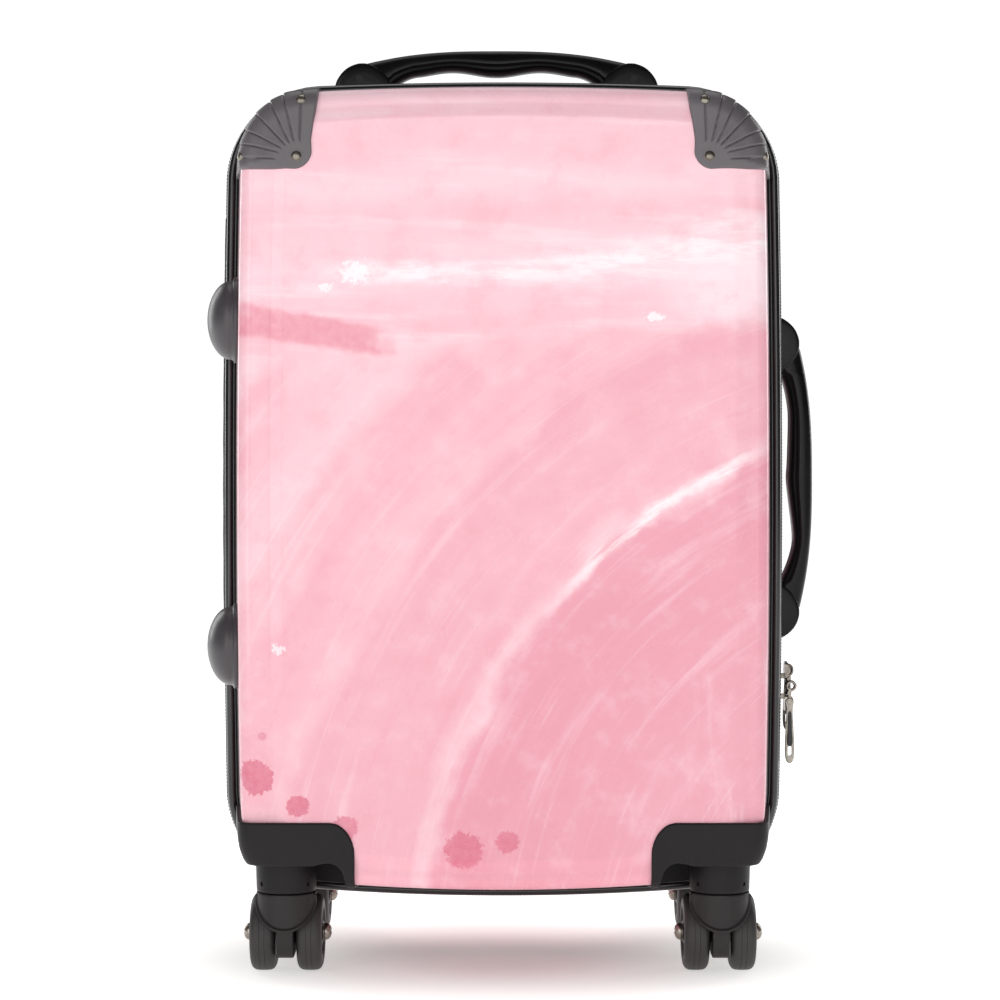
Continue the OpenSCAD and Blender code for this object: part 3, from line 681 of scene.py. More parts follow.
# ------------------------------------------------------------------ shells
def make_shell(name, sgn, sx, mat, node):
    rings = []
    prof = wall_profile(9.0, 8, 10, fy=103.3)
    for o, y, _, _ in prof:
        rings.append(ring(o, y))
    # bevelled raised panel on the face, following the bowed outline
    def flat(o, x0, x1, y):
        q = ring(o, 0.0)
        half = (x1 - x0) / 2
        q[:, 0] = q[:, 0] / (A0 + o + BOW_S) * half + (x0 + x1) / 2
        q[:, 1] = y
        return q
    rings.append(flat(OC - 1.1, -132.9, 141.7, -103.42))
    rings.append(flat(OC - 1.8, -132.2, 141.0, -103.55))
    rings.append(flat(OC - 6.4, -127.7, 135.5, -104.75))
    rings.append(flat(OC - 8.2, -126.2, 133.6, -105.22))
    rings.append(flat(OC - 9.4, -125.2, 132.4, -105.30))
    top = flat(OC - 9.4, -125.2, 132.4, 0.0)
    mid = np.array([3.6, 0.0, 281.0])
    for k in (0.93, 0.8, 0.62, 0.42, 0.22, 0.06):
        q = (top - mid) * np.array([k, 1, k]) + mid
        q[:, 1] = -105.32 - 0.55 * (1 - k * k)
        rings.append(q)
    n_out = len(rings)
    v, f = loft(rings, cap1=True)
    g = Geo().add((v, f), 0)
    # inside skin and turned rim
    inner = [ring(-2.0 - DRAFT * 9, -9.0)]
    for o, y, _, _ in wall_profile(9.0, 3, 4, off=-2.0, fy=103.0)[1:]:
        inner.append(ring(o, y))
    vi, fi = loft(inner, cap1=True)
    g.add((vi, [q[::-1] for q in fi]), 1)
    o0 = len(v)
    n = len(RB)
    g.f += [([j, (j + 1) % n, o0 + (j + 1) % n, o0 + j], 0) for j in range(n)]
    vv = np.concatenate(g.v)
    if sgn > 0:
        vv = mirror_y(vv)
    o = mk(name, vv, g.f, [mat, M["inner"]])
    for s in (-1, 1):
        x_in = sx - 37.6
        xs = (-220.0, -x_in) if s < 0 else (x_in, 220.0)
        ys = (-140.0, -27.0) if sgn < 0 else (27.0, 140.0)
        c = temp(box(xs[0], xs[1], ys[0], ys[1], -20.0, 70.4))
        boolean(o, c)
    if sgn > 0:
        c = temp(prism(rounded(190.4, 30.4, 8.2, 6, 0, 85.0), 480.0, 560.0, "z"))
        boolean(o, c)
    tidy(o, 38, recalc=False)
    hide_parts(node)
    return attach(o, "lid" if sgn < 0 else "case")


make_shell("front_shell_printed", -1, SXF, M["paint_f"], "front_shell")
make_shell("rear_shell_printed", 1, SXR, M["paint_r"], "rear_shell")


# ------------------------------------------------------------------ trims: a rounded bead, a step and a lip on the shell
def make_trim(name, sgn, node):
    sec = [(0.0, -7.25), (4.6, -7.25), (5.2, -7.6), (5.5, -8.3), (5.5, -12.6), (5.35, -14.4), (4.8, -16.0), (3.8, -17.1), (2.6, -17.65), (1.6, -17.5),
           (0.95, -16.9), (0.7, -16.1), (0.45, -15.6), (0.0, -15.4), (-0.5, -15.5), (-0.8, -16.0), (-1.05, -16.9), (-1.5, -17.5), (-1.95, -17.6), (-2.05, -17.0),
           (-1.75, -9.2), (-3.2, -8.8), (-4.1, -8.9), (-4.4, -9.6), (-4.5, -15.6), (-4.9, -16.1), (-5.7, -16.1), (-6.1, -15.6), (-6.1, -8.2), (-5.6, -7.4), (-4.8, -7.25)]
    rings = [ring(o, y) for o, y in sec]
    v, f = loft(rings, loop=True)
    if sgn > 0:
        v = mirror_y(v)
    o = mk(name, v, f, M["gloss"], sharp=50)
    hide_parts(node)
    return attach(o, "lid" if sgn < 0 else "case")


make_trim("front_trim_moulding", -1, "front_trim")
make_trim("rear_trim_moulding", 1, "rear_trim")


# ------------------------------------------------------------------ zip: tape and coil teeth
def rim_walk(o, pitch):
    """Points and normals every pitch along the outline at offset o, with the height of each."""
    fb, fn = rim_points(40, 160, 110)
    p = at(fb, fn, o, 0.0)[:, [0, 2]]
    q = np.vstack([p, p[:1]])
    nn = np.vstack([fn, fn[:1]])
    seg = np.linalg.norm(np.diff(q, axis=0), axis=1)
    s = np.concatenate([[0], np.cumsum(seg)])
    n = int(round(s[-1] / pitch))
    t = np.arange(n) * s[-1] / n
    x, z = np.interp(t, s, q[:, 0]), np.interp(t, s, q[:, 1])
    nx, nz = np.interp(t, s, nn[:, 0]), np.interp(t, s, nn[:, 1])
    L = np.hypot(nx, nz)
    return x, z, nx / L, nz / L


def make_zip(name, sgn, node):
    g = Geo()
    # tape in two layers with a rolled edge; it stops at the hinge
    sec = [(5.35, -7.2), (5.6, -6.2), (6.0, -4.4), (6.25, -3.0), (5.6, -2.6), (5.1, -3.2), (4.8, -4.6), (4.6, -6.4), (4.5, -7.2)]
    fb, fn = rim_points(14, 60, 24)
    keep = [i for i in range(len(fb)) if not (fn[i][0] < -0.99 and HINGE_Z[0] - 1 < at(fb[i:i + 1], fn[i:i + 1], 6, 0)[0, 2] < HINGE_Z[1] + 1)]
    k0 = max(i for i in range(len(keep) - 1) if keep[i + 1] - keep[i] > 1) + 1 if any(keep[i + 1] - keep[i] > 1 for i in range(len(keep) - 1)) else 0
    order = keep[k0:] + keep[:k0]
    rings = [at(fb[order], fn[order], o, y) for o, y in sec]
    v, f = loft(rings, wrap=False)
    g.add((v, f), 0)
    # coil teeth: small rounded loops, the two rows set half a pitch apart
    pitch = 2.1
    x, z, nx, nz = rim_walk(6.2, pitch)
    if sgn > 0:
        pass
    T = [(-0.62, -2.95, -1.0), (-0.62, -0.95, -1.35), (-0.5, 0.25, -1.0), (-0.5, 0.55, 0.0), (-0.5, 0.25, 1.0), (-0.62, -0.95, 1.35), (-0.62, -2.95, 1.0)]
    vs, fs, cnt = [], [], 0
    half = 0.5 if sgn > 0 else 0.0
    if half:
        x = 0.5 * (x + np.roll(x, -1)); z = 0.5 * (z + np.roll(z, -1))
    for i in range(len(x)):
        if nx[i] < -0.99 and HINGE_Z[0] - 1 < z[i] < HINGE_Z[1] + 1:
            continue
        tx, tz = -nz[i], nx[i]
        loop = []
        for side in (-1, 1):
            for (w, dy, dn) in T:
                ww = side * (0.56 if abs(dn) > 0.5 else 0.66)
                # position: along the outline, across the zip and out of it
                px = x[i] + tx * ww + nx[i] * (dn * 0.98)
                pz = z[i] + tz * ww + nz[i] * (dn * 0.98)
                loop.append((px, dy - 0.12, pz))
        n = len(T)
        vs += loop
        for j in range(n - 1):
            fs.append([cnt + j, cnt + j + 1, cnt + n + j + 1, cnt + n + j])
        fs.append([cnt + j for j in range(n)])
        fs.append([cnt + n + j for j in range(n)][::-1])
        fs.append([cnt + n - 1, cnt, cnt + n, cnt + 2 * n - 1])
        cnt += 2 * n
    vs = np.array(vs)
    vs[:, 2] += 0.0
    g.add((vs, fs), 1)
    vv = np.concatenate(g.v)
    if sgn > 0:
        vv = mirror_y(vv)
    o = mk(name, vv, g.f, [M["tape"], M["teeth"]], sharp=60)
    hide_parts(node)
    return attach(o, "lid" if sgn < 0 else "case")


make_zip("front_zip_row", -1, "front_zip_tape")
make_zip("rear_zip_row", 1, "rear_zip_tape")


# ------------------------------------------------------------------ hinge: one woven strip bowed out between the shells
def make_hinge():
    zs = np.linspace(HINGE_Z[0] - 1.5, HINGE_Z[1] + 1.5, 96)
    ys = np.array([-7.15, -6.6, -6.0, -5.4, -4.4, -3.3, -2.2, -1.1, 0.0, 1.1, 2.2, 3.3, 4.4, 5.4, 6.0, 6.6, 7.15])
    out, inn = [], []
    for z in zs:
        e = min(1.0, min(z - zs[0], zs[-1] - z) / 4.0)
        row, row2 = [], []
        for y in ys:
            o = 6.0 + 1.9 * math.cos(y / 7.15 * math.pi / 2) * (0.55 + 0.45 * e) + (0.28 if 5.2 < abs(y) < 6.3 else 0.0)
            o += 0.10 * math.sin(z * 0.21 + y) * (1 - abs(y) / 7.2)
            x = -(A0 + o + BOW_S * (1 - ((z - ZC) / B0) ** 2))
            row.append((x, y, z)); row2.append((x + 0.9, y, z))
        out.append(row); inn.append(row2)
    n = len(ys)
    rings = [a + b[::-1] for a, b in zip(out, inn)]
    v, f = loft([np.array(r) for r in rings], cap0=True, cap1=True)
    g = Geo().add((v, f), 0)
    # two rows of stitches
    for s in (-1, 1):
        z = zs[0] + 3
        while z < zs[-1] - 5:
            x0 = -(A0 + 6.0 + 1.9 * math.cos(5.75 / 7.15 * math.pi / 2) + 0.33 + BOW_S * (1 - ((z - ZC) / B0) ** 2))
            p = [(x0 + 0.15, s * 5.75, z), (x0 - 0.18, s * 5.75, z + 0.9), (x0 - 0.18, s * 5.75, z + 2.0), (x0 + 0.15, s * 5.75, z + 2.9)]
            g.add(tube(p, 0.2, 6), 1)
            z += 3.9
    o = g.make("hinge_gusset", [M["hinge"], M["stitch"]], sharp=60)
    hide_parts("front_hinge_strip", "rear_hinge_strip")
    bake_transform(o)


make_hinge()


# ------------------------------------------------------------------ corner guards
RIV = (-117.2, 470.3)                        # rivet that the pleats fan out from


def fan_patch(base, nrm, ends, off, y0, nw, nfil, ns, edge_w=1.3, relief=None, yf=105.0, border=True, t_line=None):
    """A sheet that wraps a corner: down the side wall, round the fillet and in over the face to the points ends."""
    prof = wall_profile(y0, nw, nfil, fy=yf)
    nu = len(base)
    cols = []
    plain = []
    for k, (o, y, nr, ny) in enumerate(prof):
        p = at(base, nrm, o, y)
        n = np.stack([nrm[:, 0] * nr, np.full(nu, ny), nrm[:, 1] * nr], 1)
        plain.append((p, n))
    p_edge = plain[-1][0]
    ts = (np.linspace(0, 1, ns + 1)[1:]) if t_line is None else np.asarray(t_line)
    E = np.stack([ends[:, 0], np.full(nu, -yf), ends[:, 1]], 1)
    for t in ts:
        p = p_edge * (1 - t) + E * t
        p[:, 1] = -yf
        plain.append((p, np.tile([0.0, -1.0, 0.0], (nu, 1))))
    P = np.array([p for p, n in plain])          # (levels, nu, 3)
    N = np.array([n for p, n in plain])
    # distance of each point from the sheet's border, measured along the grid
    dv = np.linalg.norm(np.diff(P, axis=0), axis=2)
    sv = np.concatenate([np.zeros((1, nu)), np.cumsum(dv, axis=0)])
    d_lo, d_hi = sv, sv[-1][None, :] - sv
    du = np.linalg.norm(np.diff(P, axis=1), axis=2)
    su = np.concatenate([np.zeros((len(P), 1)), np.cumsum(du, axis=1)], axis=1)
    d_u = np.minimum(su, su[:, -1][:, None] - su)
    d = np.minimum(np.minimum(d_lo, d_hi), d_u)
    q = np.clip(d / edge_w, 0, 1)
    h = (off + 2.2) * np.clip(1 - (1 - q) ** 3, 0, 1) - 2.2
    if relief is not None:
        h = h + relief(P, d)
    return P + N * h[:, :, None]


def graded(a, b, n, edge=1.4, k=3):
    """Samples from a to b, closer together at both ends."""
    L = abs(b - a)
    s = np.sign(b - a)
    first = [edge * (i / k) ** 1.6 for i in range(k + 1)]
    mid = list(np.linspace(edge, L - edge, n)[1:-1])
    last = [L - x for x in first[::-1]]
    return np.array([a + s * x for x in first + mid + last])


GROOVES = [((129.7, 469.0), (145.0, 469.6)), ((128.1, 472.9), (144.7, 476.7)), ((126.0, 475.1), (140.9, 482.8)), ((123.9, 476.9), (135.9, 489.9)),
           ((121.6, 478.4), (130.0, 496.3)), ((118.9, 479.4), (123.5, 499.3)), ((115.4, 479.4), (116.2, 498.6))]


def pleats(P, d):
    """Fan of pressed pleats: a groove along each line and a sloping facet between neighbours."""
    ax, az = np.abs(P[:, :, 0]), P[:, :, 2]
    depth = np.zeros_like(ax)
    perp, along = [], []
    for (x0, z0), (x1, z1) in GROOVES:
        L = math.hypot(x1 - x0, z1 - z0)
        ux, uz = (x1 - x0) / L, (z1 - z0) / L
        along.append((ax - x0) * ux + (az - z0) * uz)
        perp.append((ax - x0) * -uz + (az - z0) * ux)
    back = np.clip((np.abs(P[:, :, 1]) - 62.0) / 30.0, 0, 1)         # fades down the side wall
    for q, t in zip(perp, along):
        depth = np.maximum(depth, np.exp(-(q / 0.42) ** 2) * np.clip((t + 0.4) / 1.0, 0, 1))
    saw = np.zeros_like(ax)
    for i in range(len(GROOVES) - 1):
        a_, b_ = perp[i], -perp[i + 1]
        w = a_ / np.maximum(a_ + b_, 1e-6)
        k = np.clip(along[i] / 6.0, 0, 1)
        saw = np.where((a_ > 0) & (b_ > 0), (w - 0.5) * k, saw)
    return (-0.85 * depth - 0.62 * saw) * (0.3 + 0.7 * back) * np.clip(d / 2.2, 0, 1)


def guard_grid():
    base, nrm = [], []
    for z in graded(463.0 - ZC, MZ, 3, 1.2, 3)[:-3]:
        base.append((-MX, z)); nrm.append((-1, 0))
    for a in np.linspace(180, 90, 150):
        base.append((-MX, MZ)); nrm.append((math.cos(math.radians(a)), math.sin(math.radians(a))))
    for x in [-111.2, -110.4, -109.9, -109.5, -109.1, -108.8, -108.6, -108.5]:
        base.append((x, MZ)); nrm.append((0, 1))
    base, nrm = np.array(base), np.array(nrm)
    # ends of the fan lines on the rounded inner corner
    edge = at(base, nrm, np.full(len(base), OC), -105.0)
    s = np.concatenate([[0], np.cumsum(np.linalg.norm(np.diff(edge, axis=0), axis=1))])
    s /= s[-1]
    ang = np.radians(-90 + 90 * s)
    ends = np.stack([-118.3 + 9.6 * np.cos(ang), 472.6 + 9.6 * np.sin(ang)], 1)
    return base, nrm, ends


def make_guard():
    base, nrm, ends = guard_grid()
    t = np.concatenate([np.linspace(0, 1, 30)[1:-1], [0.975, 0.985, 0.991, 0.995, 0.998, 1.0]])
    P = fan_patch(base, nrm, ends, 2.0, 19.6, 26, 9, 0, 1.4, pleats, t_line=t)
    lean = np.clip((P[:, :, 2] - 480.0) / 22.0, 0, 1.4) * np.clip((P[:, :, 0] + 122.0) / 12.0, 0, 1)
    P[:, :, 0] += 3.2 * lean
    P[:, :, 2] += 5.0 * np.clip(1 - (np.abs(P[:, :, 1]) - 19.6) / 80.0, 0, 1) * np.clip((471.0 - P[:, :, 2]) / 8.0, 0, 1)
    L, U = P.shape[:2]
    v, f = loft([P[i] for i in range(L)], wrap=False)
    return v, f


def rivet_geo():
    """Domed rivet head on a thin washer, pointing along +z."""
    prof = [(0.0, -0.6), (2.95, -0.6), (3.0, 0.0), (2.95, 0.25), (2.7, 0.35), (2.62, 0.45), (2.5, 0.9), (2.15, 1.35), (1.55, 1.7), (0.8, 1.9), (0.0, 1.95)]
    return lathe((0, 0, 0), (0, 0, 1), prof, 40)


def turn(v, axis, deg):
    R = np.array(Matrix.Rotation(math.radians(deg), 3, axis))
    return np.asarray(v, float) @ R.T


GV, GF = make_guard()
RVV, RVF = rivet_geo()


def aim(v, d):
    """Turns geometry that points along +z towards d."""
    u, w, a = frame_of(d)
    return np.asarray(v, float) @ np.array([u, w, a])


def at_rivets(v):
    """The three places of a rivet on the upper left guard of the front shell."""
    return [aim(v, (0, -1, 0)) + np.array([-117.3, -106.95, 470.2]),
            aim(v, (0, -0.87, 0.49)) + np.array([-114.6, -105.5, 502.7]),
            aim(v, (-0.86, -0.51, 0)) + np.array([-149.3, -101.3, 470.6])]


for body, sgn in (("lid", -1), ("case", 1)):
    for side in ("left", "right"):
        fy = (lambda v: v) if sgn < 0 else mirror_y
        fx = (lambda v: v) if side == "left" else mirror_x
        o = mk(f"{'front' if sgn < 0 else 'rear'}_guard_{side}", fx(fy(GV)), GF, M["guard"], sharp=60)
        if sgn < 0:
            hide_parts(f"front_corner_guard_{side}")
        else:
            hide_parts("rear_corner_guards")
        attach(o, body)
    g = Geo()
    for side in (1, -1):
        for v in at_rivets(RVV):
            v = v if side > 0 else mirror_x(v)
            v = v if sgn < 0 else mirror_y(v)
            g.add((v, RVF))
    o = g.make(f"{'front' if sgn < 0 else 'rear'}_rivets", M["rivet"], sharp=45)
    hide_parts("front_guard_rivets" if sgn < 0 else "rear_guard_rivets")
    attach(o, body)


# ------------------------------------------------------------------ wheel housings
def half_solid(off, y0, nw=3, nf=4, square=0.0):
    rings = [ring(o, y, square=square) for o, y, _, _ in wall_profile(y0, nw, nf, off=off)]
    return loft(rings, cap0=True, cap1=True)


def arch(x_in, top, grow=0.0):
    """Opening of the caster pocket, drawn in x and z, with a softly raised inner corner."""
    g = grow
    pts = [(-220, -20), (-220, top + g), (-x_in - 18, top + g), (-x_in - 13.5, top + 1.3 + g), (-x_in - 8.5, top + 2.0 + g), (-x_in - 4.0, top + 0.4 + g),
           (-x_in - 1.0 + g * 0.7, top - 3.2 + g * 0.7), (-x_in + 0.4 + g, top - 8.0), (-x_in + 0.8 + g, top - 14.0), (-x_in + 0.8 + g, -20)]
    return pts


def make_housing(sx):
    x_in = sx - 35.6
    x_lap = x_in - 6.2                      # inner edge of the lap over the face
    # lap over the lower corner: a sheet 2 mm thick, cut to its outline
    out_line = [(-220, 91.6), (-x_lap - 14.4, 91.6)]
    out_line += [(-x_lap - 14.4 + 14.4 * math.sin(t), 91.6 - 19.3 + 19.3 * math.cos(t)) for t in np.linspace(0.08, math.pi / 2, 16)]
    out_line += [(-x_lap, 20.0), (-220, 20.0)]
    o = mk("lap", *half_solid(2.1, 19.6, 14, 10, 1.5), M["housing"])
    boolean(o, temp(prism(out_line, -160.0, -19.5, "y")), "INTERSECT")
    boolean(o, temp(half_solid(-0.3, 0.0, 14, 10)))
    boolean(o, temp(prism(arch(x_in, 66.8), -140.0, -29.9, "y")))
    # walls and ceiling of the pocket
    w = mk("walls", *half_solid(0.4, 24.0, 8, 8, 1.5), M["housing"])
    boolean(w, temp(prism(arch(x_in, 66.8, 2.6), -140.0, -27.3, "y")), "INTERSECT")
    boolean(w, temp(prism(arch(x_in, 66.8), -150.0, -29.9, "y")))
    g = Geo()
    for part in (o, w):
        me = part.data
        v = np.array([tuple(q.co) for q in me.vertices]) * 1000.0 - np.array([BX, 0, 0])
        g.add((v, [list(p.vertices) for p in me.polygons]))
        drop(part)
    # web that carries the swivel cup, and the cup's own collar up inside
    g.add(cyl((-sx, -SY, 64.0), (0, 0, 1), 17.3, 4.5, 64))
    m = g.make("housing", M["housing"], sharp=180)
    fuse(m, 0.75, 5, 0.6, keep=0.30)
    v = np.array([tuple(q.co) for q in m.data.vertices]) * 1000.0 - np.array([BX, 0, 0])
    f = [list(p.vertices) for p in m.data.polygons]
    drop(m)
    out = Geo().add((v, f), 0)
    # swivel cup: turned, with a seam, and two small screw holes at the front
    prof = [(0.0, 48.05), (16.4, 48.05), (17.0, 48.3), (17.25, 48.9), (17.35, 50.0), (17.6, 58.0), (17.78, 65.0), (17.78, 67.5), (0.0, 67.5)]
    c = mk("cup", *lathe((-sx, -SY, 0), (0, 0, 1), prof, 96), M["housing"])
    for a in (-50, 50):
        t = math.radians(a)
        d = (math.sin(t), -math.cos(t), 0)
        p = (-sx + d[0] * 16.4, -SY + d[1] * 16.4, 53.2)
        boolean(c, temp(cyl(p, d, 1.25, 3.0, 20)))
    me = c.data
    v = np.array([tuple(q.co) for q in me.vertices]) * 1000.0 - np.array([BX, 0, 0])
    out.add((v, [list(p.vertices) for p in me.polygons]), 0)
    drop(c)
    return np.concatenate(out.v), out.f


for body, sgn, sx in (("lid", -1, SXF), ("case", 1, SXR)):
    HV, HF = make_housing(sx)
    for side in ("left", "right"):
        v = HV if sgn < 0 else mirror_y(HV)
        v = v if side == "left" else mirror_x(v)
        row = "front" if sgn < 0 else "rear"
        o = mk(f"{row}_housing_{side}", v, HF, M["housing"], sharp=42)
        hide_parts(f"{row}_wheel_housing_{side}")
        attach(o, body)


# ------------------------------------------------------------------ side feet
def foot_geo():
    prof = [(0.0, -0.8), (24.6, -0.8), (25.2, -0.3), (25.3, 0.3), (25.3, 1.4), (25.0, 1.9), (24.3, 2.1), (23.9, 2.1), (23.6, 2.45), (23.3, 3.1)]
    n = 18
    for i in range(1, n + 1):
        t = math.radians(90.0 * i / n)
        prof.append((23.3 * math.cos(t), 3.1 + 14.3 * math.sin(t)))
    return lathe((0, 0, 0), (0, 0, 1), prof, 72)


FV, FF = foot_geo()
for body, sgn in (("lid", -1), ("case", 1)):
    g = Geo()
    for z in (381.0, 189.0):
        v = turn(FV, "Y", -90)
        v = turn(v, "Z", math.degrees(math.atan(DRAFT)))
        v = v + np.array([-side_x(50, z) - 0.4, -50.0, z])
        g.add((v if sgn < 0 else mirror_y(v), FF))
    o = g.make(f"{'front' if sgn < 0 else 'rear'}_feet", M["foot"], sharp=40)
    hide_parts("front_side_feet" if sgn < 0 else "rear_side_feet")
    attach(o, body)


# ------------------------------------------------------------------ casters (local origin on the floor under the swivel)
def make_fork():
    g = Geo()
    shell = mk("s", *lathe((0, 0, 0), (0, 0, 1), [(0, 20), (17.3, 20), (17.5, 21), (17.5, 46.6), (17.2, 47.3), (16.6, 47.6), (0, 47.6)], 96), None, body=False)
    boolean(shell, temp(cyl((0, 30, 43.8), (0, -1, 0), 17.5, 60, 96), body=False), "INTERSECT")
    boolean(shell, temp(box(-30, 30, 5.0, 40, 0, 43.5), body=False))
    def take(o):
        v = np.array([tuple(q.co) for q in o.data.vertices]) * 1000.0
        f = [list(p.vertices) for p in o.data.polygons]
        drop(o)
        return v, f
    g.add(take(shell))
    g.add(cyl((0, 0, 43.6), (0, 0, 1), 17.4, 3.9, 96))
    web = [(-12.5, 44), (-12.5, 34), (-13.4, 27), (-13.4, 20), (-12.4, 14), (-9.6, 10.6), (-6, 9.9), (6, 9.9), (13, 11.5), (19, 15.5), (23, 22), (22, 31), (15, 39), (10, 44)]
    wv, wf = prism(spline(web, 4, closed=True), -4.8, 4.8, "x")
    g.add((wv, wf))
    for s in (-1, 1):
        g.add(cyl((s * 4.2, TRAIL, WR), (s, 0, 0), 6.6, 1.75, 48))
    # raised lip round the hood's front edge
    pts = []
    for a in np.linspace(182, 358, 61):
        t = math.radians(a)
        x, z = 16.9 * math.cos(t), 43.8 + 16.9 * math.sin(t)
        pts.append((x, -math.sqrt(max(17.5 ** 2 - x * x, 0.01)) - 0.15, z))
    pts = [(pts[0][0], pts[0][1], 46.6)] + pts + [(pts[-1][0], pts[-1][1], 46.6)]
    g.add(tube(pts, 1.15, 10))
    o = g.make("fork", M["fork"], sharp=180, body=False)
    for s in (-1, 1):
        boolean(o, temp(cyl((s * 5.45, TRAIL, WR), (s, 0, 0), WR + 1.2, 30, 96), body=False)) if False else None
    fuse(o, 0.42, 3, 0.5)
    for s in (-1, 1):
        boolean(o, temp(cyl((s * 5.95, TRAIL, WR), (s, 0, 0), WR + 1.0, 30, 96), body=False))
    m = o.modifiers.new("d", "DECIMATE")
    m.ratio = 0.22
    bake(o)
    tidy(o, 45, recalc=False)
    if not len(o.data.materials):
        o.data.materials.append(M["fork"])
    return o


def make_wheel():
    """Axis along x, outer side towards +x, centred."""
    w = 7.32
    tread = []
    for x, r in ((-w, 15.0), (-w, 18.4), (-w + 0.25, 19.4), (-w + 0.9, 20.6), (-w + 1.8, 21.5), (-w + 3.1, 22.05), (-2.0, 22.26), (-1.7, 22.27), (-1.55, 22.10), (-1.4, 22.27),
                 (1.4, 22.27), (1.55, 22.10), (1.7, 22.27), (2.0, 22.26), (w - 3.1, 22.05), (w - 1.8, 21.5), (w - 0.9, 20.6), (w - 0.25, 19.4), (w, 18.4), (w, 15.0)):
        tread.append((r, x))
    g = Geo()
    u, ww, a = frame_of((1, 0, 0))
    t = np.linspace(0, 2 * math.pi, 96, endpoint=False)
    rg = np.outer(np.cos(t), u) + np.outer(np.sin(t), ww)
    rings = [a * h + rg * r for r, h in tread]
    g.add(loft(rings, loop=True), 0)
    # hub: dished disc with a boss
    hub = [(2.6, -w + 0.6), (14.95, -w + 0.6), (14.95, w - 0.3), (14.1, w - 0.2), (13.5, w - 0.6), (13.1, w - 1.6), (12.2, w - 2.1), (8.2, w - 2.1), (7.4, w - 1.7), (6.9, w - 0.7), (6.5, w - 0.35), (2.6, w - 0.35)]
    rings = [a * h + rg * r for r, h in hub]
    g.add(loft(rings, loop=True), 1)
    for k in range(6):
        c = math.radians(60 * k + 15)
        d, e = np.outer([math.cos(c)], u)[0] + np.outer([math.sin(c)], ww)[0], None
        e = np.cross(a, d)
        prof = [(7.0, -1.1), (13.4, -0.75), (13.4, 0.75), (7.0, 1.1)]
        lo = [d * r + e * s_ + a * (w - 2.4) for r, s_ in prof]
        hi = [d * r + e * s_ * 0.7 + a * (w - 1.0) for r, s_ in prof]
        g.add(loft([np.array(lo), np.array(hi)], cap1=True), 1)
    return g.make("wheel", [M["tyre"], M["hub"]], sharp=40, body=False)


def make_axle():
    g = Geo()
    g.add(cyl((-21.0, 0, 0), (1, 0, 0), 2.45, 42.0, 24))
    for s in (-1, 1):
        prof = [(0.0, 20.9), (5.3, 20.9), (5.4, 21.0), (5.4, 21.3), (5.25, 21.4), (4.9, 21.45), (5.0, 21.8), (4.95, 22.7), (4.6, 23.7), (3.9, 24.55), (2.9, 25.2), (1.6, 25.6), (0.0, 25.72)]
        g.add(lathe((0, 0, 0), (s, 0, 0), prof, 40))
    o = g.make("axle", M["bolt"], sharp=40, body=False)
    for s in (-1, 1):
        for k in (0, 90):
            b = np.array(box(23.9, 27.0, -3.0, 3.0, -0.55, 0.55)[0], float)
            v = turn(b, "X", k) * np.array([s, 1, 1])
            boolean(o, temp((v, box(0, 1, 0, 1, 0, 1)[1]), body=False))
    tidy(o, 40, recalc=False)
    return o


fork_o, wheel_o, axle_o = make_fork(), make_wheel(), make_axle()
for corner, sx, sy in (("front_left", -SXF, -SY), ("front_right", SXF, -SY), ("rear_left", -SXR, SY), ("rear_right", SXR, SY)):
    out = 1 if sx > 0 else -1
    def place(src, name, loc, spin=False):
        o = bpy.data.objects.new(name, src.data)
        COLL.objects.link(o)
        R = Matrix.Rotation(math.pi, 4, "Z") if spin else Matrix.Identity(4)
        o.matrix_world = Matrix.Translation(Vector(((loc[0] + BX) / 1000, loc[1] / 1000, loc[2] / 1000))) @ R
        return o
    o = place(fork_o, corner + "_caster_fork", (sx, sy, 0))
    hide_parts(corner + "_fork"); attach(o, corner + "_caster")
    o = place(axle_o, corner + "_caster_bolt", (sx, sy + TRAIL, WR))
    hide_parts(corner + "_axle"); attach(o, corner + "_caster")
    for w, s in (("outer", out), ("inner", -out)):
        o = place(wheel_o, f"{corner}_twin_wheel_{w}", (sx + s * 13.55, sy + TRAIL, WR), spin=(s < 0))
        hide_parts(f"{corner}_wheel_{w}"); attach(o, f"{corner}_wheel_{w}")
for o in (fork_o, wheel_o, axle_o):
    bpy.data.objects.remove(o)


# ------------------------------------------------------------------ carry handles (local x along, z out, 0 at the crown)
GRIP_W = 20.4
PIN_U, PIN_V, LIFT = 85.0, -18.6, 10.0
TOP_Z, SIDE_X, SIDE_Z, HY, HX0 = 554.6, 192.6, 288.7, 33.0, -4.0


def crown(x):
    return -8.45e-5 * abs(x) ** 2.6


def finger(x):
    ax = abs(x)
    z = -16 + 3.2 * math.sin(math.radians(min(ax, 52) * 180 / 104 * 1.9)) ** 2
    if ax > 50:
        z -= ((ax - 50) / 4.2) ** 1.6
    return z


SIDE_FINGER = spline([(-66, -21.5), (-58.8, -18.1), (-48.1, -15.7), (-36.6, -14.7), (-10.8, -15.4), (0.6, -16.0), (13.5, -14.7), (28, -12.9), (39.3, -12.2), (47.9, -13.9), (56.5, -17.0), (62, -19.8), (66, -22.8)], 6)


def side_finger(x):
    """Under edge of the side grip: one shallow and one deep hollow for the fingers."""
    return float(np.interp(x, SIDE_FINGER[:, 0], SIDE_FINGER[:, 1]))


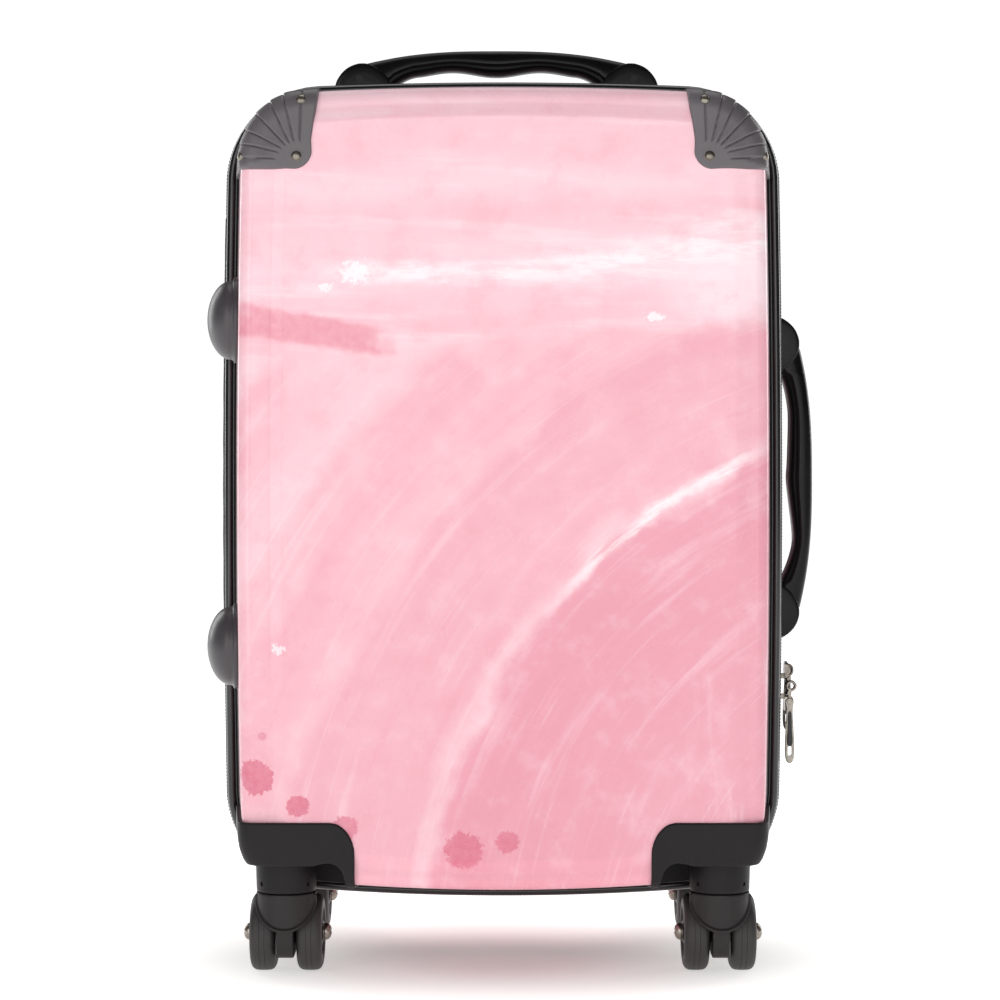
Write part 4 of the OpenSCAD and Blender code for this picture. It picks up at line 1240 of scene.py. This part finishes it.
def grip_geo(finger=finger):
    half = [(0.0, 0.0), (0.42, 0.015), (0.72, 0.085), (0.90, 0.22), (0.985, 0.40), (1.0, 0.53), (0.985, 0.585), (0.90, 0.63), (0.86, 0.70), (0.80, 0.83), (0.62, 0.945), (0.32, 0.99), (0.0, 1.0)]
    full = half + [(-a, b) for a, b in half[-2:0:-1]]
    sec = spline(full, 3, closed=True)
    rings = []
    xs = np.concatenate([[-97.6, -97.2, -96.2, -94.5], np.linspace(-92, 92, 93), [94.5, 96.2, 97.2, 97.6]])
    for x in xs:
        ax = abs(x)
        zt = crown(ax) if ax <= 80 else crown(80) - (ax - 80) * 0.62 - max(0, ax - 92) ** 1.6 * 0.3
        zb = finger(x) if ax < 66 else -26 - min(1, (ax - 66) / 6) * 5.2
        zb = max(zb, -31.2)
        sh = 1.0
        if ax > 92:
            sh = math.sqrt(max(0.0, 1 - ((ax - 92) / 5.9) ** 2))
            mid = (zt + zb) / 2
            zt, zb = mid + (zt - mid) * (0.55 + 0.45 * sh), mid + (zb - mid) * (0.75 + 0.25 * sh)
        w = (GRIP_W / 2 - 0.15) * (0.60 + 0.40 * sh) * (1.0 - 0.05 * math.exp(-((ax - 60) / 14) ** 2))
        rings.append(np.stack([np.full(len(sec), x), sec[:, 0] * w, zt + (zb - zt) * sec[:, 1]], 1))
    return loft(rings, cap0=True, cap1=True)


def cheek_geo(s):
    """One bracket: two rounded cheeks and a foot; s is the end of the handle."""
    g = Geo()
    prof = spline([(62.8, -39), (63.8, -28), (67.4, -17.9), (73.6, -12.0), (79.8, -9.2), (86, -9.1), (92.8, -12.0), (98.2, -18.0), (100.4, -25), (100.8, -39)], 6)
    poly = [tuple(p) for p in prof]
    for t in (-1, 1):
        inner, outer = t * (GRIP_W / 2 + 0.35), t * (GRIP_W / 2 + 2.8)
        p = np.array(poly)
        c = np.array([82.0, -30.0])
        def lay(k, y):
            q = c + (p - c) * k
            return np.stack([q[:, 0], np.full(len(q), y), q[:, 1]], 1)
        g.add(loft([lay(1.0, inner), lay(1.0, outer - t * 1.9), lay(0.985, outer - t * 1.45), lay(0.945, outer - t * 1.05), lay(0.86, outer - t * 0.65),
                    lay(0.72, outer - t * 0.33), lay(0.5, outer - t * 0.1), lay(0.25, outer)], cap0=True, cap1=True))
    # foot plate with a stepped edge
    g.add(prism(rounded(40.0, GRIP_W + 5.6, 3.0, 5, 82.5, 0), -39.5, -33.4, "z"))
    g.add(prism(rounded(37.0, GRIP_W + 3.6, 2.6, 5, 82.0, 0), -34.0, -32.0, "z"))
    v = np.concatenate(g.v)
    f = [q for q, m in g.f]
    if s < 0:
        v = mirror_x(v)
    return v, f


def to_top(v):
    return np.asarray(v) + np.array([HX0, HY, TOP_Z])


def to_side(v):
    v = np.asarray(v, float)
    return np.stack([v[:, 2] + SIDE_X, v[:, 1] + HY, -v[:, 0] + SIDE_Z], 1)


HVV, HFF = grip_geo()
SVV, SFF = grip_geo(side_finger)
for nm, tf, body, node, bnode in (("top", to_top, "top_handle", "top_handle_grip", "top_handle_brackets"), ("side", to_side, "side_handle", "side_handle_grip", "side_handle_brackets")):
    o = mk(nm + "_grip", tf(HVV if nm == "top" else SVV), HFF, M["grip"], sharp=50)
    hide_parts(node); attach(o, body)
    g = Geo()
    for s in (-1, 1):
        v, f = cheek_geo(s)
        g.add((tf(v), f))
    o = g.make(nm + "_handle_mounts", M["grip"], sharp=40)
    fuse(o, 0.5, 2, 0.5, keep=0.35)
    sol = temp(half_solid(0.15, 0.0, 4, 4))
    for q in sol.data.vertices:
        q.co.y *= -1
    tidy(sol)
    boolean(o, sol)
    tidy(o, 40, recalc=False)
    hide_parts(bnode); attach(o, "case")
put_mat("handle_pins", M["grip"])
put_mat("handle_screws", M["steel"])
put_mat("front_swivel_pins", M["steel"])
put_mat("rear_swivel_pins", M["steel"])


# ------------------------------------------------------------------ telescopic handle
for n in ("trolley_outer_tubes", "trolley_middle_tubes", "trolley_inner_tubes"):
    put_mat(n, M["alu"])
put_mat("trolley_base_bracket", M["housing"])
TY = 85.0


def stack_ring(w, d, r, z, n=8):
    p = rounded(w, d, r, n, 0, TY)
    return np.array([(a, b, z) for a, b in p])


def make_bezel():
    rings = [stack_ring(189.6, 29.6, 8, 490.2), stack_ring(189.6, 29.6, 8, 512.0), stack_ring(189.8, 29.8, 8, 515.2)]
    rings += [stack_ring(189.8, 29.8, 8, 516.6), stack_ring(189.0, 29.0, 7.7, 517.3), stack_ring(187.6, 27.6, 7.2, 517.5), stack_ring(185.6, 25.6, 6.4, 517.1),
              stack_ring(184.4, 24.4, 6.0, 516.2), stack_ring(184.0, 24.0, 5.9, 514.5), stack_ring(183.6, 23.8, 5.8, 493.2)]
    v, f = loft(rings, cap0=True, cap1=True)
    o = mk("trolley_bezel_cup", v, f, M["housing"], sharp=40)
    for s in (-1, 1):
        boolean(o, temp(prism(rounded(18.2, 9.2, 2.2, 5, s * 72.0, TY), 480.0, 520.0, "z")))
    tidy(o, 40, recalc=False)
    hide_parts("trolley_bezel"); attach(o, "case")


def make_trolley_grip():
    rings = []
    for k, z in ((0.93, 497.4), (0.975, 497.9), (0.995, 499.0), (1.0, 501.0), (1.0, 510.5), (0.995, 513.2), (0.975, 515.4), (0.93, 516.7), (0.87, 517.0)):
        w, d = 167.6 - (1 - k) * 26, 21.6 - (1 - k) * 26
        rings.append(stack_ring(w, d, min(7, d / 2 - 1), z))
    v, f = loft(rings, cap0=True, cap1=True)
    o = mk("trolley_pull_grip", v, f, M["grip"], sharp=40)
    boolean(o, temp(prism(rounded(44.0, 13.0, 4.0, 6, 0, TY), 510.4, 530.0, "z")))
    tidy(o, 40, recalc=False)
    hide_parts("trolley_grip"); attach(o, "trolley_inner")
    rings = [stack_ring(w, d, r, z) for w, d, r, z in ((43.2, 12.2, 3.6, 513.6), (43.2, 12.2, 3.6, 517.4), (42.8, 11.8, 3.4, 518.1), (41.8, 10.8, 3.0, 518.45), (36, 7.0, 2.4, 518.2), (20, 3.4, 1.4, 518.0))]
    v, f = loft(rings, cap0=True, cap1=True)
    o = mk("trolley_push_button_cap", v, f, M["button"], sharp=40)
    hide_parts("trolley_button"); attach(o, "trolley_push_button")


make_bezel()
make_trolley_grip()

# ------------------------------------------------------------------ zip sliders and pulls
ZX = A0 + 2.17 + 6.5


def make_slider(name, node, body, flip, z0):
    """Local x out, z towards the nose."""
    g = Geo()
    g.add(prism([(a, b) for a, b in spline([(-3.1, -5.2), (3.1, -5.2), (4.2, -2.5), (4.4, 1.5), (3.4, 4.6), (0, 5.4), (-3.4, 4.6), (-4.4, 1.5), (-4.2, -2.5)], 3, closed=True)], 3.0, 4.6, "x"))
    g.add(prism([(a, b) for a, b in spline([(-2.4, -4.3), (2.4, -4.3), (3.2, -2), (3.4, 1.5), (2.6, 3.9), (0, 4.5), (-2.6, 3.9), (-3.4, 1.5), (-3.2, -2)], 3, closed=True)], 4.5, 5.5, "x"))
    g.add(prism([(a, b) for a, b in spline([(-3.4, -5.2), (3.4, -5.2), (4.4, 1.5), (0, 5.3), (-4.4, 1.5)], 4, closed=True)], -5.3, -3.5, "x"))
    g.add(box(-4, 4, -0.55, 0.55, 1.6, 5.0))
    # hanger loop over the body
    loop = [(5.0, 0.0, 3.2), (6.8, 0.0, 2.8), (7.9, 0.0, 1.2), (7.9, 0.0, -1.4), (6.9, 0.0, -2.9), (5.0, 0.0, -3.3)]
    g.add(tube(spline(loop, 5), 0.75, 10))
    g.add(lathe((5.6, 1.0, 0), (0, 1, 0), [(0, 0), (2.4, 0), (2.6, 0.3), (2.6, 3.1), (2.4, 3.4), (0, 3.4)], 32))
    g.add(cyl((5.6, 4.3, 0), (0, 1, 0), 0.98, 3.0, 20))
    g.add(lathe((5.6, 7.0, 0), (0, 1, 0), [(0, 0), (1.35, 0), (1.4, 0.2), (1.2, 0.42), (0, 0.45)], 20))
    # padlock eye
    eye = [(7.2 + 2.55 * math.cos(a), 1.2, 9.5 + 2.55 * math.sin(a)) for a in np.linspace(0, 2 * math.pi, 40, endpoint=False)]
    g.add(tube(eye, 0.84, 12, closed=True))
    g.add(prism([(4.9, 2.0), (7.0, 2.0), (7.4, 6.9), (6.2, 8.2), (4.9, 5.2)], 0.4, 2.0, "y"))
    v = np.concatenate(g.v)
    v[:, 1] *= -1
    if flip:
        v[:, 1] *= -1
        v[:, 2] *= -1
    v = v + np.array([ZX, 0, z0])
    o = mk(name, v, [q for q, m in g.f], M["nickel"], sharp=40)
    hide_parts(node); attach(o, body)


def make_pull(name, node, body, y, z0):
    g = Geo()
    out = spline([(-1.7, 1.8), (-2.5, 0), (-2.0, -3.5), (-1.9, -8), (-2.4, -16), (-2.8, -25), (-2.8, -31), (-2.3, -34.8), (-1.0, -36.8), (1.0, -36.8), (2.3, -34.8), (2.8, -31), (2.8, -25),
                  (2.4, -16), (1.9, -8), (2.0, -3.5), (2.5, 0), (1.7, 1.8), (0, 2.5)], 3, closed=True)
    c = out.mean(0)
    def lay(d, yy):
        n = np.roll(out, -1, 0) - np.roll(out, 1, 0)
        n = np.stack([n[:, 1], -n[:, 0]], 1)
        n /= np.linalg.norm(n, axis=1)[:, None]
        q = out + n * d
        return np.stack([q[:, 0], np.full(len(q), yy), q[:, 1]], 1)
    sgn = 1.0
    if np.dot(lay(0.5, 0)[0, [0, 2]] - out[0], c - out[0]) < 0:
        sgn = -1.0
    # silver frame round a dark inlay
    g.add(loft([lay(0.35 * sgn, -1.1), lay(0.0, -0.8), lay(0.0, 0.8), lay(0.35 * sgn, 1.1)], cap0=True, cap1=True), 0)
    inl = spline([(-0.9, -6.5), (-1.35, -16), (-1.6, -25.5), (1.6, -25.5), (1.35, -16), (0.9, -6.5)], 5, closed=True)
    for s in (-1, 1):
        k = np.stack([inl[:, 0], np.full(len(inl), s * 1.0), inl[:, 1]], 1)
        k2 = k.copy(); k2[:, 1] = s * 1.26
        cc = k2.mean(0)
        k3 = cc + (k2 - cc) * np.array([0.86, 1, 0.97]); k3[:, 1] = s * 1.38
        g.add(loft([k, k2, k3], cap1=True), 1)
    v = np.concatenate(g.v) + np.array([ZX + 5.6, y, z0])
    o = mk(name, v, g.f, [M["nickel"], M["inlay"]], sharp=40)
    for zz, hw, hh in ((-29.6, 1.2, 2.9),):
        sl = prism(rounded(2 * hw, 2 * hh, 1.1, 5, ZX + 5.6, z0 + zz), y - 4, y + 4, "y")
        boolean(o, temp(sl))
    boolean(o, temp(cyl((ZX + 5.6, y - 4, z0), (0, 1, 0), 1.08, 8, 24)))
    tidy(o, 40, recalc=False)
    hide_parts(node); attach(o, body)


make_slider("slider_upper_body", "zip_slider_upper", "slider_upper", True, 171.0)
make_slider("slider_lower_body", "zip_slider_lower", "slider_lower", False, 152.0)
make_pull("pull_upper_tag", "zip_pull_upper", "pull_upper", 5.95, 171.0)
make_pull("pull_lower_tag", "zip_pull_lower", "pull_lower", -5.95, 152.0)


# ------------------------------------------------------------------ fabric inside
def wrinkle(p, amp=1.0, seed=0.0):
    """Slow creases for loose cloth, repeatable."""
    x, y, z = p[:, 0], p[:, 1], p[:, 2]
    w = np.sin(0.045 * x + 0.9 * np.sin(0.031 * z + seed) + seed) * np.sin(0.052 * z + 1.1 * np.sin(0.027 * x) + 2 * seed)
    w += 0.5 * np.sin(0.11 * z + 0.07 * x + 1.7 * np.sin(0.05 * y + seed))
    w += 0.35 * np.sin(0.19 * x - 0.13 * z + seed * 3) * np.sin(0.06 * y + 1.0)
    return amp * w / 1.85


def make_lining(name, sgn, sx, node, deep):
    """Loose cloth skin just inside the shell, with a rolled hem at the rim."""
    rings = []
    hem = [(-7.4, -10.6), (-7.9, -10.0), (-7.5, -9.5), (-6.6, -9.5), (-6.2, -10.0)]
    rings += [ring(o - DRAFT * 10 + 1.1, y) for o, y in hem]
    ys = np.linspace(11.5, min(deep, 94.0), 22)
    for y in ys:
        q = ring(-5.6 - DRAFT * y, -y)
        n3 = np.stack([RN[:, 0], np.zeros(len(RN)), RN[:, 1]], 1)
        amp = 0.55 * min(1.0, (y - 11.0) / 12.0)
        q = q - n3 * (0.5 + wrinkle(q, amp, 0.6))[:, None]
        rings.append(q)
    if deep > 94:
        for t in range(1, 7):
            a = math.radians(15.0 * t)
            q = ring(-DRAFT * EY - EDGE + 3.0 * math.cos(a) - 0.3, -(EY + 2.9 * math.sin(a)))
            rings.append(q)
        last = rings[-1]
        c = np.array([0, 0, ZC])
        for k in (0.96, 0.9, 0.82, 0.72, 0.6, 0.47, 0.33, 0.18, 0.05):
            q = c + (last - c) * np.array([k, 1, k])
            q[:, 1] = -98.7 + 0.5 + wrinkle(q, 0.5, 1.3)
            rings.append(q)
        v, f = loft(rings, cap1=True)
    else:
        v, f = loft(rings)
    if sgn > 0:
        v = mirror_y(v)
    o = mk(name, v, f, M["lining"], sharp=70)
    for s in (-1, 1):
        x_in = sx - 38.6
        xs = (-220.0, -x_in) if s < 0 else (x_in, 220.0)
        cut = []
        for p in o.data.polygons:
            c = np.mean([tuple(o.data.vertices[i].co) for i in p.vertices], axis=0) * 1000 - np.array([BX, 0, 0])
            if xs[0] < c[0] < xs[1] and c[2] < 71.5 and abs(c[1]) > 25.0:
                cut.append(p.index)
        bm = bmesh.new(); bm.from_mesh(o.data); bm.faces.ensure_lookup_table()
        bmesh.ops.delete(bm, geom=[bm.faces[i] for i in cut], context="FACES")
        bm.to_mesh(o.data); bm.free()
        # cloth boxed round the caster pocket
    g = Geo()
    for s in (-1, 1):
        x_in = sx - 38.6
        yb = 24.8
        yd = min(deep, 97.5)
        g.add(cloth_box(s * x_in, s * 150.0, yb, yd, 44.0, 71.8, s))
    vv = np.concatenate(g.v)
    vv = vv if sgn > 0 else mirror_y(vv)
    o2 = mk(name + "_pocket_cover", vv, [q for q, m in g.f], M["lining"], sharp=70)
    for x in (o, o2):
        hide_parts(node)
        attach(x, "lid" if sgn < 0 else "case")
    return o


def cloth_box(x0, x1, y0, y1, z0, z1, s):
    """Inner corner of cloth over the caster pocket: an upright side, a back and a lid, softly rounded."""
    g = Geo()
    nz, ny, nx = 10, 18, 14
    r = 4.0
    def soft(p):
        return p
    # profile across x: up the side wall then along the top
    prof = [(x0 - s * 0.0, z) for z in np.linspace(z0, z1 - r, nz)]
    prof += [(x0 + s * (r - r * math.cos(a)), z1 - r + r * math.sin(a)) for a in np.linspace(0.2, math.pi / 2, 6)]
    prof += [(x, z1) for x in np.linspace(x0 + s * (r + 1), x1, nx)]
    rows = []
    for y in np.linspace(y0 + r, y1, ny):
        rows.append(np.array([(x, y, z) for x, z in prof]))
    for a in np.linspace(0.15, math.pi / 2, 5):
        yy = y0 + r - r * math.sin(a)
        dz = r - r * math.cos(a)
        rows.insert(0, np.array([(x + s * dz * (1 if abs(x - x0) < r + 0.5 else 0), yy, z - (dz if z > z1 - r - 0.01 else 0)) for x, z in prof]))
    first = rows[0]
    rows.insert(0, np.array([(p[0], p[1], min(p[2], z0)) for p in first]))
    for q in rows:
        for p in q:
            rad = R0 - 5.6 - DRAFT * p[1]
            lo = ZC - (B0 - 5.6 - DRAFT * p[1]) - BOW_B * (1 - (p[0] / A0) ** 2)
            p[2] = max(p[2], lo)
            if p[2] < ZC - MZ:
                lim = MX + math.sqrt(max(rad * rad - (ZC - MZ - p[2]) ** 2, 0.0))
                p[0] = max(-lim, min(lim, p[0]))
    return loft(rows, wrap=False)


make_lining("front_lining_cloth", -1, SXF, "front_lining", 99.0)
make_lining("rear_lining_cloth", 1, SXR, "rear_lining", 66.0)


def make_back_panel():
    """Fabric panel that hides the telescopic tubes, with piping round it and the tube channels showing through."""
    rings = []
    last = ring(-5.9 - DRAFT * 66, 66.4)
    c = np.array([0, 0, ZC])
    for k in np.linspace(1.0, 0.03, 30):
        q = c + (last - c) * np.array([k, 1, k])
        bulge = sum(1.6 * np.exp(-((q[:, 0] - s * 72) / 13.0) ** 2) for s in (-1, 1))
        q[:, 1] = 66.9 - (bulge * (1 - 0.0) + wrinkle(q, 0.45, 2.1)) * min(1, (1 - k) * 12) + 0.4
        rings.append(q)
    v, f = loft(rings, cap1=True)
    o = mk("rear_back_panel_cloth", v, f, M["lining"], sharp=70)
    for s in (-1, 1):
        x_in = SXR - 38.6
        bm = bmesh.new(); bm.from_mesh(o.data)
        dead = [fc for fc in bm.faces if fc.calc_center_median().z < 0.0715 and s * (fc.calc_center_median().x * 1000 - BX) > x_in]
        bmesh.ops.delete(bm, geom=dead, context="FACES")
        bm.to_mesh(o.data); bm.free()
    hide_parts("rear_back_panel"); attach(o, "case")
    # piping
    fb, fn = rim_points(10, 30, 20)
    p = at(fb, fn, -7.6 - DRAFT * 66, 65.6)
    p = p[~((p[:, 2] < 76) & (np.abs(p[:, 0]) > SXR - 42))]
    i0 = int(np.argmax(np.linalg.norm(np.diff(np.vstack([p, p[:1]]), axis=0), axis=1)))
    runs = []
    jump = [i for i in range(len(p)) if np.linalg.norm(p[(i + 1) % len(p)] - p[i]) > 30]
    start = 0
    order = np.roll(np.arange(len(p)), -(jump[0] + 1)) if jump else np.arange(len(p))
    cur = []
    for k in order:
        cur.append(p[k])
        if k in jump:
            runs.append(np.array(cur)); cur = []
    if cur:
        runs.append(np.array(cur))
    g = Geo()
    for rr in runs:
        if len(rr) > 3:
            g.add(tube(rr, 1.25, 8))
    o = g.make("rear_panel_piping", M["tape"], sharp=70)
    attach(o, "case")


make_back_panel()


def strip(path, width_dir, w, th=1.1, rib=True):
    """Flat webbing along a path, with thickened edges."""
    p = np.asarray(path, float)
    rings = []
    for i in range(len(p)):
        d = Vector(p[min(i + 1, len(p) - 1)] - p[max(i - 1, 0)]).normalized()
        wd = Vector(width_dir)
        wd = (wd - d * wd.dot(d)).normalized()
        n = d.cross(wd).normalized()
        wd, n = np.array(wd), np.array(n)
        sec = [(-w / 2, 0.0), (-w / 2 + 0.3, th * 0.5), (-w / 2 + 1.8, th * 0.42), (0, th * 0.46), (w / 2 - 1.8, th * 0.42), (w / 2 - 0.3, th * 0.5), (w / 2, 0.0),
               (w / 2 - 0.3, -th * 0.5), (0, -th * 0.46), (-w / 2 + 0.3, -th * 0.5)]
        rings.append(np.array([p[i] + wd * a + n * b for a, b in sec]))
    return loft(rings, cap0=True, cap1=True)


def make_straps():
    g = Geo()
    for a in (48, 132, 228, 312):
        t = math.radians(a)
        d = np.array([math.cos(t), 0, math.sin(t)])
        # reach to the cloth wall
        far = 10.0
        for r in np.arange(20, 260, 1.0):
            x, z = d[0] * r, d[2] * r
            b, n = np.abs(x), np.abs(z)
            inside = b < A0 - 7.7 - 8.5 and n < B0 - 7.7 - 8.5 and (b < MX or n < MZ or math.hypot(b - MX, n - MZ) < R0 - 16.0)
            if z < 0 and z + ZC < 76 and b > SXR - 42:
                inside = False
            if inside:
                far = r
        pts = []
        for r in np.linspace(17, far, 40):
            s = (r - 17) / (far - 17)
            y = 64.0 - 2.2 * math.sin(math.pi * s) * (0.5 + 0.5 * math.sin(9 * s + a)) - 2.6 * math.exp(-((r - 17) / 9.0) ** 2)
            pts.append(np.array([0, 0, ZC]) + d * r + np.array([0, y, 0]))
        wd = np.array([-d[2], 0, d[0]])
        g.add(strip(pts, wd, 24.0, 1.2), 0)
        # folded end sewn to the wall
        e = pts[-1]
        g.add(strip([e + d * -26 + np.array([0, -1.3, 0]), e + d * -12 + np.array([0, -1.5, 0]), e + np.array([0, -1.3, 0])], wd, 23.0, 1.0), 0)
        # adjuster slide part-way along
        c0 = pts[14]
        for k in (-7.0, 0.0, 7.0):
            q = c0 + d * k + np.array([0, -1.2, 0])
            g.add(tube([q - wd * 14.5, q + wd * 14.5], 1.15, 10), 1)
        for k in (-1, 1):
            q = c0 + wd * 14.3 * k + np.array([0, -1.2, 0])
            g.add(tube([q - d * 7.6, q + d * 7.6], 1.15, 10), 1)
    o = g.make("packing_strap_webbing", [M["strap"], M["housing"]], sharp=60)
    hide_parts("packing_straps"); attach(o, "case")
    # buckle
    rings = []
    for k, y in ((1.0, 66.2), (1.0, 62.6), (0.985, 61.6), (0.95, 61.0), (0.88, 60.75), (0.60, 60.75), (0.56, 61.2), (0.30, 61.25)):
        rings.append(np.array([(x * k, y, ZC + z * k) for x, z in rounded(43, 43, 9, 8)]))
    v, f = loft(rings, cap0=True, cap1=True)
    g = Geo().add((v, f), 0)
    for a in (48, 132, 228, 312):
        t = math.radians(a)
        d = np.array([math.cos(t), 0, math.sin(t)])
        wd = np.array([-d[2], 0, d[0]])
        c = np.array([0, 62.0, ZC]) + d * 20.0
        g.add(tube([c - wd * 13.5, c + wd * 13.5], 1.5, 12), 0)
    o = g.make("strap_centre_buckle", M["housing"], sharp=45)
    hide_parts("strap_buckle"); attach(o, "case")


make_straps()


def make_lid_pocket():
    """Gathered mesh pocket with an elastic top on the front shell's lining."""
    x0, x1, z0, z1 = -112.0, 112.0, 92.0, 300.0
    nx, nz = 120, 60
    rows = []
    for j in range(nz + 1):
        s = j / nz
        row = []
        for i in range(nx + 1):
            u = i / nx
            x = x0 + (x1 - x0) * u
            z = z0 + (z1 - z0) * s - 7.0 * math.sin(math.pi * u) * s ** 2
            edge = min(1.0, 8 * u, 8 * (1 - u)) * min(1.0, s * 8)
            belly = 10.5 * math.sin(math.pi * u) ** 0.7 * (1 - 0.55 * s) * min(1.0, s * 3)
            gather = 1.5 * math.sin(u * 2 * math.pi * 24 + 1.2 * math.sin(5 * s)) * (s ** 2.2) * edge + 0.8 * math.sin(u * 40 + s * 9) * (1 - s) * edge
            row.append((x, -96.4 + belly + gather * 0.9 + 1.0 * edge, z))
        rows.append(np.array(row))
    v, f = loft(rows, wrap=False)
    g = Geo().add((v, f), 0)
    top = rows[-1] + np.array([0, 0.2, 0.5])
    g.add(tube(top[::2], 2.1, 10), 1)
    side = [np.array([(x0, -96.6, z) for z in np.linspace(z0, z1, 30)]), np.array([(x1, -96.6, z) for z in np.linspace(z0, z1, 30)]), np.array([(x, -96.6, z0) for x in np.linspace(x0, x1, 30)])]
    for sd in side:
        g.add(tube(sd, 1.3, 8), 1)
    o = g.make("lid_mesh_pocket", [M["pocket"], M["tape"]], sharp=70)
    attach(o, "lid")


make_lid_pocket()

# ------------------------------------------------------------------ studio
def stage_mat(name, col):
    t = Mat(name)
    n = t.noise(t.P, 3.0, 3.0)
    x, y, z = t.sep(t.P)
    # The floor glows evenly far out. Towards the case's footprint the glow is dimmed and turned warm: a painted contact
    # shadow under the case.
    a, b = t.mul(t.add(x, 0.009), 5.0), t.mul(t.add(y, 0.02), 7.5)
    r = t.math("SQRT", t.add(t.mul(a, a), t.mul(b, b)))
    t.set(Base_Color=t.mix(t.lerp(n, 0.3, 0.7, 0.0, 0.02), col, tuple(v * 0.97 for v in col[:3]) + (1.0,)), Roughness=0.8, Specular_IOR_Level=0.05,
          Emission_Color=t.mix(t.step(r, 0.3, 1.6), (1.0, 0.985, 0.955, 1.0), (1.0, 1.0, 1.0, 1.0)), Emission_Strength=t.step(r, 0.15, 1.35, 0.24, 1.0))
    return t.m


def make_floor():
    xs, ys = np.linspace(-14.0, 14.0, 15), np.linspace(-8.0, 16.0, 15)
    rows = [np.array([(x * 1000.0, y * 1000.0, -0.05) for y in ys]) for x in xs]
    v, f = loft(rows, wrap=False)
    o = mk("studio_floor", v, f, stage_mat("studio_paper_painted_shadow", (0.62, 0.615, 0.61, 1.0)), body=False, recalc=False)
    return o


make_floor()


def area(name, loc, target, size, power, size_y=None, color=(1, 1, 1)):
    d = bpy.data.lights.new(name, "AREA")
    d.shape = "RECTANGLE"
    d.size, d.size_y = size, size_y or size
    d.energy = power
    d.color = color
    o = bpy.data.objects.new(name, d)
    COLL.objects.link(o)
    o.location = loc
    o.rotation_mode = "QUATERNION"
    o.rotation_quaternion = (Vector(target) - Vector(loc)).to_track_quat("-Z", "Y")
    return o


area("key_left", (-1.45, -2.05, 0.75), (0, 0, 0.26), 0.8, 10.5, 1.7)
area("key_right", (1.25, -2.35, 0.65), (0, 0, 0.26), 0.7, 5.6, 1.7)
area("fill_front", (0.0, -3.4, 0.75), (0, 0, 0.24), 2.2, 19.0, 1.3)
area("top", (0.0, 0.45, 2.3), (0, 0.1, 0.2), 1.4, 9.0, 1.4)
area("back_left", (-1.8, 1.7, 1.1), (0, 0, 0.28), 0.9, 17.0, 1.8)
area("back_right", (1.9, 1.6, 1.1), (0, 0, 0.28), 0.9, 17.0, 1.8)

w = bpy.data.worlds.new("studio")
bpy.context.scene.world = w
w.use_nodes = True
nt = w.node_tree
nt.nodes.clear()
wo = nt.nodes.new("ShaderNodeOutputWorld")
bg = nt.nodes.new("ShaderNodeBackground")
lp = nt.nodes.new("ShaderNodeLightPath")
mr = nt.nodes.new("ShaderNodeMapRange")
mr.inputs["To Min"].default_value = 0.17
mr.inputs["To Max"].default_value = 1.05
nt.links.new(lp.outputs["Is Camera Ray"], mr.inputs["Value"])
gl = nt.nodes.new("ShaderNodeMapRange")
gl.inputs["To Min"].default_value = 0.17
gl.inputs["To Max"].default_value = 0.10
nt.links.new(lp.outputs["Is Glossy Ray"], gl.inputs["Value"])
nt.links.new(gl.outputs[0], mr.inputs["To Min"])
bg.inputs[0].default_value = (1.0, 1.0, 1.0, 1.0)
nt.links.new(mr.outputs[0], bg.inputs[1])
nt.links.new(bg.outputs[0], wo.inputs[0])

vs = bpy.context.scene.view_settings
vs.view_transform = "Standard"
vs.look = "None"
vs.exposure = 0.0
vs.gamma = 1.0

cam = bpy.data.cameras.new("camera")
cam.sensor_width = 36.0
cam.lens = 36.0 * 2.464
cam.clip_start, cam.clip_end = 0.05, 50.0
cam.shift_x = -0.003
co = bpy.data.objects.new("camera", cam)
COLL.objects.link(co)
co.location = (BX / 1000.0, -1.505, 0.275)
co.rotation_euler = (math.radians(90.0), 0.0, 0.0)
bpy.context.scene.camera = co
